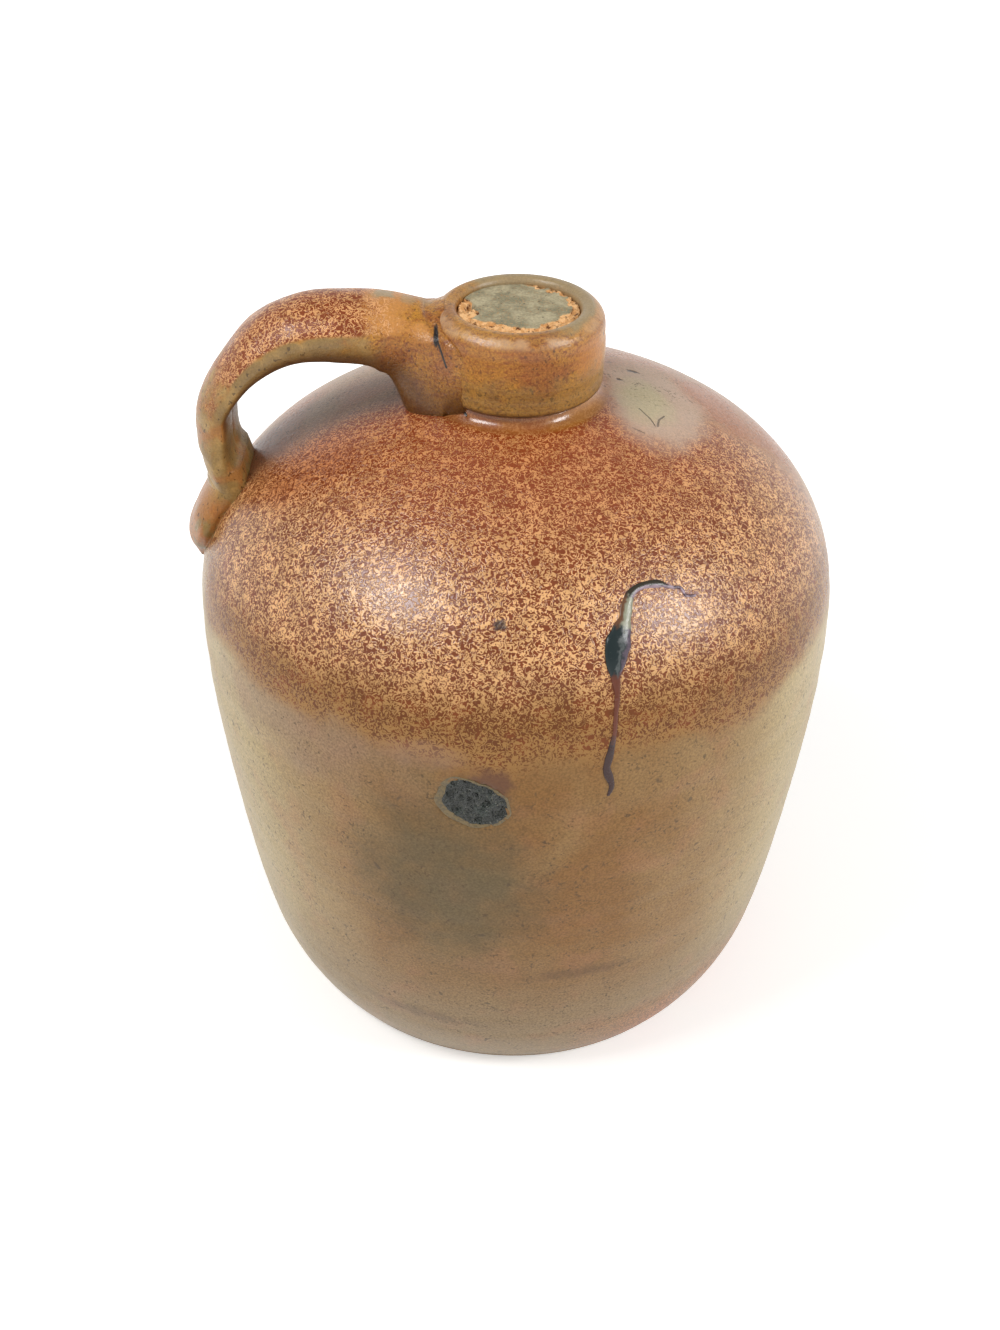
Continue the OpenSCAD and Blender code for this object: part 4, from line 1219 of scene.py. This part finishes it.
# The drip's line as azimuth and height share of the shoulder, then shares of width and height.
DRIP_SHARES = ((-55.7, 0.708, 0.11, 0.20), (-57.7, 0.716, 0.14, 0.25), (-58.1, 0.734, 0.17, 0.28),
               (-60.2, 0.743, 0.16, 0.30), (-62.3, 0.756, 0.34, 0.42), (-65.9, 0.761, 0.29, 0.40),
               (-68.5, 0.753, 0.37, 0.42), (-70.1, 0.733, 0.46, 0.45), (-71.2, 0.707, 0.51, 0.50),
               (-72.5, 0.680, 0.86, 0.78), (-73.8, 0.647, 1.00, 1.00), (-74.5, 0.615, 0.80, 0.95),
               (-74.9, 0.581, 0.46, 0.65), (-74.9, 0.543, 0.27, 0.45), (-75.1, 0.509, 0.23, 0.38),
               (-75.5, 0.460, 0.20, 0.36), (-75.8, 0.407, 0.20, 0.36), (-76.7, 0.322, 0.33, 0.42),
               (-77.0, 0.281, 0.34, 0.45), (-76.1, 0.215, 0.27, 0.38), (-76.6, 0.174, 0.13, 0.20))


def wall_tree():
    """The thrown body's surface, for finding it along a line."""
    mesh = bpy.data.objects["glazed_body"].data
    return BVHTree.FromPolygons([v.co for v in mesh.vertices], [p.vertices for p in mesh.polygons])


def above_wall(tree, points, ways):
    """How far each point stands above the thrown wall, along its own way out of it."""
    start = 8 * MM
    gaps = []
    for point, way in zip(points, ways):
        spot, _, _, run = tree.ray_cast(Vector(point + way * start), -Vector(way))
        if spot is None:
            raise RuntimeError("the wall was missed under a kiln mark")
        gaps.append(run - start)
    return np.array(gaps)


class JUG_OT_run_drip(bpy.types.Operator):
    """Run the drip of dark kiln glass down the shoulder"""
    bl_idname = "jug.run_drip"
    bl_label = "Run drip"

    def execute(self, context):
        sizes, marks = context.scene.jug_body, context.scene.jug_marks
        rings, arc, sink = 300, 14, 0.55 * MM
        at = np.linspace(0, len(DRIP_SHARES) - 1, rings)
        rows = through(DRIP_SHARES, at)
        shoulder = sizes.ledge_z - sizes.belly_z
        frames = [on_wall(row[0], sizes.belly_z + shoulder * row[1], sizes) for row in rows]
        middles = np.array([f[0] for f in frames])
        outs = np.array([f[1] for f in frames])
        runs = np.gradient(middles, axis=0)
        across = normalised(np.cross(outs, runs))
        ragged = 1 + 0.08 * lumps(middles, 5 * MM, 41)
        width = marks.drip_w / 2 * np.maximum(rows[:, 2], 0.06) * np.clip(ragged, 0.6, 1.5)
        height = marks.drip_t * np.maximum(rows[:, 3], 0.06) * 0.8
        # A domed top whose edges dip under the wall, closed below.
        angle = np.linspace(0, math.pi, arc)
        side = np.concatenate([np.cos(angle), [-0.6, 0.6]])
        dome = np.concatenate([np.sin(angle) ** 0.8, [0.0, 0.0]])
        below = np.concatenate([np.where(np.abs(np.cos(angle)) > 0.98, 1.0, 0.0), [1.6, 1.6]])
        flat = (middles[:, None] + across[:, None] * (width[:, None] * side)[..., None]).reshape(-1, 3)
        ways = np.repeat(outs, len(side), axis=0)
        rise = (height[:, None] * dome - sink * below).ravel() - above_wall(wall_tree(), flat, ways)
        points = flat + ways * rise[:, None]
        places = {"run": np.repeat(at / at[-1], len(side)), "across": np.tile(side, rings)}
        piece = mesh_object("kiln_glass_run", points, ring_faces(rings, len(side)),
                            kiln_glass(context.scene.jug_colours), places)
        give_to_body(piece, "jug", "kiln_glass", "kiln_drip")
        return {"FINISHED"}


class JUG_OT_set_stone(bpy.types.Operator):
    """Set the rough glassy stone in the pit that it popped"""
    bl_idname = "jug.set_stone"
    bl_label = "Set stone"

    def execute(self, context):
        sizes, marks = context.scene.jug_body, context.scene.jug_marks
        middle, along, across, out = pit_place(sizes, marks)
        turns, rings, lap = 150, 50, 1.12
        angle = np.linspace(0, 2 * np.pi, turns, endpoint=False)
        share = np.linspace(0, 1, rings + 1)[1:]
        # The pit's outline is an oval with full ends, a little ragged.
        full = (np.abs(np.cos(angle)) ** 2.4 + np.abs(np.sin(angle)) ** 2.4) ** (-1 / 2.4)
        full *= 1 + 0.035 * np.sin(3 * angle + 0.6) + 0.02 * np.sin(5 * angle + 2) + 0.015 * np.sin(9 * angle)
        loop = (marks.pit_l / 2 * (np.cos(angle) * full)[:, None] * along
                + marks.pit_w / 2 * (np.sin(angle) * full)[:, None] * across)
        reach = np.repeat(share, turns)
        turned = np.tile(angle, rings)
        flat = middle + (lap * share[:, None, None] * loop[None]).reshape(-1, 3)
        # The wall curves away from the pit's plane, and the rim lies on the wall as it was thrown.
        curve = wall_r(flat[:, 2], sizes) - np.hypot(flat[:, 0], flat[:, 1])
        circle = middle + 1.1 * loop
        ideal = wall_r(circle[:, 2], sizes) - np.hypot(circle[:, 0], circle[:, 1])
        stray = -above_wall(wall_tree(), circle, np.tile(out, (turns, 1))) - ideal
        curve += stray.mean() + (np.tile(stray, rings) - stray.mean()) * share_between(reach, 0.3, 1.0)
        # The pit's lower left is a wide slope of bare clay, and its upper right a steep edge.
        bank = share_between(np.cos(turned - math.radians(215)), -0.2, 0.9)
        shelf = 0.93 - 0.11 * bank
        rise = 0.10 * MM * np.exp(-((reach - 0.95) / 0.03) ** 2)
        hollow = 0.85 * MM * (1 - share_between(reach, shelf - 0.16 - 0.1 * bank, 0.93))
        stone = 1 - share_between(reach, shelf - 0.1, shelf)
        rough = (0.36 * MM * lumps(flat, 3.0 * MM, 51) + 0.16 * MM * lumps(flat, 1.1 * MM,
                                                                           52) + 0.1 * MM) * stone
        rough += 0.04 * MM * lumps(flat, 2 * MM, 53) * (1 - stone) * share_between(reach, 0.96, 0.9)
        tuck = 0.5 * MM * share_between(reach, 0.955, 1.0)
        top = flat + out * (curve + rise - hollow + rough - tuck)[:, None]
        base = flat + out * (curve - 2.6 * MM * (1 - 0.8 * share_between(reach, 0.6, 1.0)) - 0.55 * MM)[:,
                                                                                                        None]
        centre_top = top[:turns].mean(0)
        centre_base = base[:turns].mean(0)
        points = np.vstack([[centre_top], top, base[::-1].reshape(rings, turns, 3)[:, ::-1].reshape(-1, 3),
                            [centre_base]])
        faces = [(0, 1 + k, 1 + (k + 1) % turns) for k in range(turns)]
        stack = ring_faces(2 * rings, turns, closed_ends=False)
        faces += [tuple(1 + i for i in f)[::-1] for f in stack]
        last = 1 + (2 * rings - 1) * turns
        faces += [(last + turns, last + (k + 1) % turns, last + k) for k in range(turns)]
        rim = np.concatenate([[0], 1 - stone, np.ones(len(base)), [1]])
        piece = mesh_object("glassy_stone", points, faces, iron_stone(context.scene.jug_colours),
                            {"rim": rim})
        give_to_body(piece, "jug", "iron_stone", "stone_inclusion")
        return {"FINISHED"}


def seen(make):
    """1 for what the camera sees, straight or in a reflection, and 0 for light that falls on things."""
    ways = make.tree.nodes.new("ShaderNodeLightPath").outputs
    mirrored = make.sum("MAXIMUM", ways["Is Glossy Ray"], ways["Is Transmission Ray"])
    return make.sum("MAXIMUM", ways["Is Camera Ray"], mirrored)


def aim(target, place):
    """The turn that makes a lamp or camera at a place look at a target."""
    return (Vector(target) - Vector(place)).to_track_quat("-Z", "Y")


class JUG_OT_lay_stage(bpy.types.Operator):
    """Lay the pale floor, hang the soft boxes and set up the camera"""
    bl_idname = "jug.lay_stage"
    bl_label = "Lay stage"

    def execute(self, context):
        scene = context.scene
        self.floor()
        middle = Vector((0, 0, RIM_Z / 2))
        # Name, the way to the lamp, its width and height, and the irradiance that it gives.
        for name, way, width, height, light in (
                ("left_soft_box", (-0.53, -0.24, 0.81), 0.40, 0.28, 1.44),
                ("right_soft_box", (0.70, -0.33, 0.63), 0.22, 0.40, 1.22)):
            lamp = bpy.data.lights.new(name, "AREA")
            lamp.shape, lamp.size, lamp.size_y = "RECTANGLE", width, height
            lamp.energy = light * math.pi
            box = bpy.data.objects.new(name, lamp)
            scene.collection.objects.link(box)
            box.location = middle + Vector(way).normalized()
            box.rotation_mode = "QUATERNION"
            box.rotation_quaternion = aim(middle, box.location)
        self.world(scene)
        self.camera(scene)
        scene.view_settings.view_transform = "Standard"
        return {"FINISHED"}

    def floor(self):
        reach = 3.0
        mesh = bpy.data.meshes.new("floor")
        mesh.from_pydata([(x, y, 0.0) for x, y in reach * np.array(((-1, -1), (1, -1), (1, 1), (-1, 1)))],
                         [], [(0, 1, 2, 3)])
        floor = new_object("floor", mesh)
        glaze = Glaze("pale_floor")
        glaze.colour = "#f7f7f6"
        lit = glaze.times(seen(glaze), glaze.fit(glaze.radius, 0.14, 0.5, 0.40, 0.85))
        mesh.materials.append(glaze.finish(0.9, Emission_Color=(1.0, 1.0, 1.0), Emission_Strength=lit))

    def world(self, scene):
        world = bpy.data.worlds.new("studio")
        scene.world = world
        world.use_nodes = True
        make = NodeMaker(world.node_tree)
        apart = make.tree.nodes.new("ShaderNodeSeparateXYZ")
        make.feed(apart.inputs[0], make.tree.nodes.new("ShaderNodeTexCoord").outputs["Generated"])
        # The room is bright low down, where pale screens stand, and dim overhead.
        strength = make.add("ShaderNodeMapRange",
                            {"Value": apart.outputs[2], "From Min": 0.1, "From Max": 0.6,
                                                   "To Min": 1.0, "To Max": 0.3})
        background = world.node_tree.nodes["Background"]
        make.feed(background.inputs["Color"], (1.0, 1.0, 1.0))
        make.feed(background.inputs["Strength"], strength)

    def camera(self, scene):
        yaw, pitch, roll = math.radians(0.96), math.radians(38.47), math.radians(0.28)
        ahead = Vector((math.sin(yaw) * math.cos(pitch), math.cos(yaw) * math.cos(pitch), -math.sin(pitch)))
        right = Vector((math.cos(yaw), -math.sin(yaw), 0))
        up = right.cross(ahead)
        tilted = math.cos(roll) * right + math.sin(roll) * up
        upright = math.cos(roll) * up - math.sin(roll) * right
        lens = bpy.data.cameras.new("photo_camera")
        lens.lens, lens.sensor_width, lens.sensor_fit = 37.895, 36.0, "AUTO"
        lens.clip_start = 10 * MM
        camera = bpy.data.objects.new("photo_camera", lens)
        turn = Matrix((tilted, upright, -ahead)).transposed().to_4x4()
        camera.matrix_world = Matrix.Translation((-10.5 * MM, -353.2 * MM, 382.0 * MM)) @ turn
        scene.collection.objects.link(camera)
        scene.camera = camera


GROUPS = {"jug_body": ThrownBodySizes, "jug_collar": CollarSizes, "jug_handle": HandleSizes,
          "jug_cork": CorkSizes, "jug_marks": KilnMarkSizes, "jug_colours": GlazeColours}
OPERATORS = (JUG_OT_lay_stage, JUG_OT_throw_body, JUG_OT_turn_collar, JUG_OT_pull_handle,
             JUG_OT_cut_cork, JUG_OT_run_drip, JUG_OT_set_stone)


class JUG_PT_sidebar(bpy.types.Panel):
    """Sizes, colours and steps of the stoneware jug"""
    bl_idname = "JUG_PT_sidebar"
    bl_label = "Stoneware jug"
    bl_space_type = "VIEW_3D"
    bl_region_type = "UI"
    bl_category = "Jug"

    def draw(self, context):
        for operator in OPERATORS:
            self.layout.operator(operator.bl_idname)
        for name, group in GROUPS.items():
            box = self.layout.box()
            for label in group.__annotations__:
                box.prop(getattr(context.scene, name), label)


def register():
    for item in (*GROUPS.values(), *OPERATORS, JUG_PT_sidebar):
        bpy.utils.register_class(item)
    for name, group in GROUPS.items():
        setattr(bpy.types.Scene, name, PointerProperty(type=group))


def unregister():
    for name in GROUPS:
        delattr(bpy.types.Scene, name)
    for item in reversed((*GROUPS.values(), *OPERATORS, JUG_PT_sidebar)):
        bpy.utils.unregister_class(item)


def main():
    register()
    for operator in OPERATORS:
        family, name = operator.bl_idname.split(".")
        getattr(getattr(bpy.ops, family), name)()


if __name__ == "__main__":
    main()
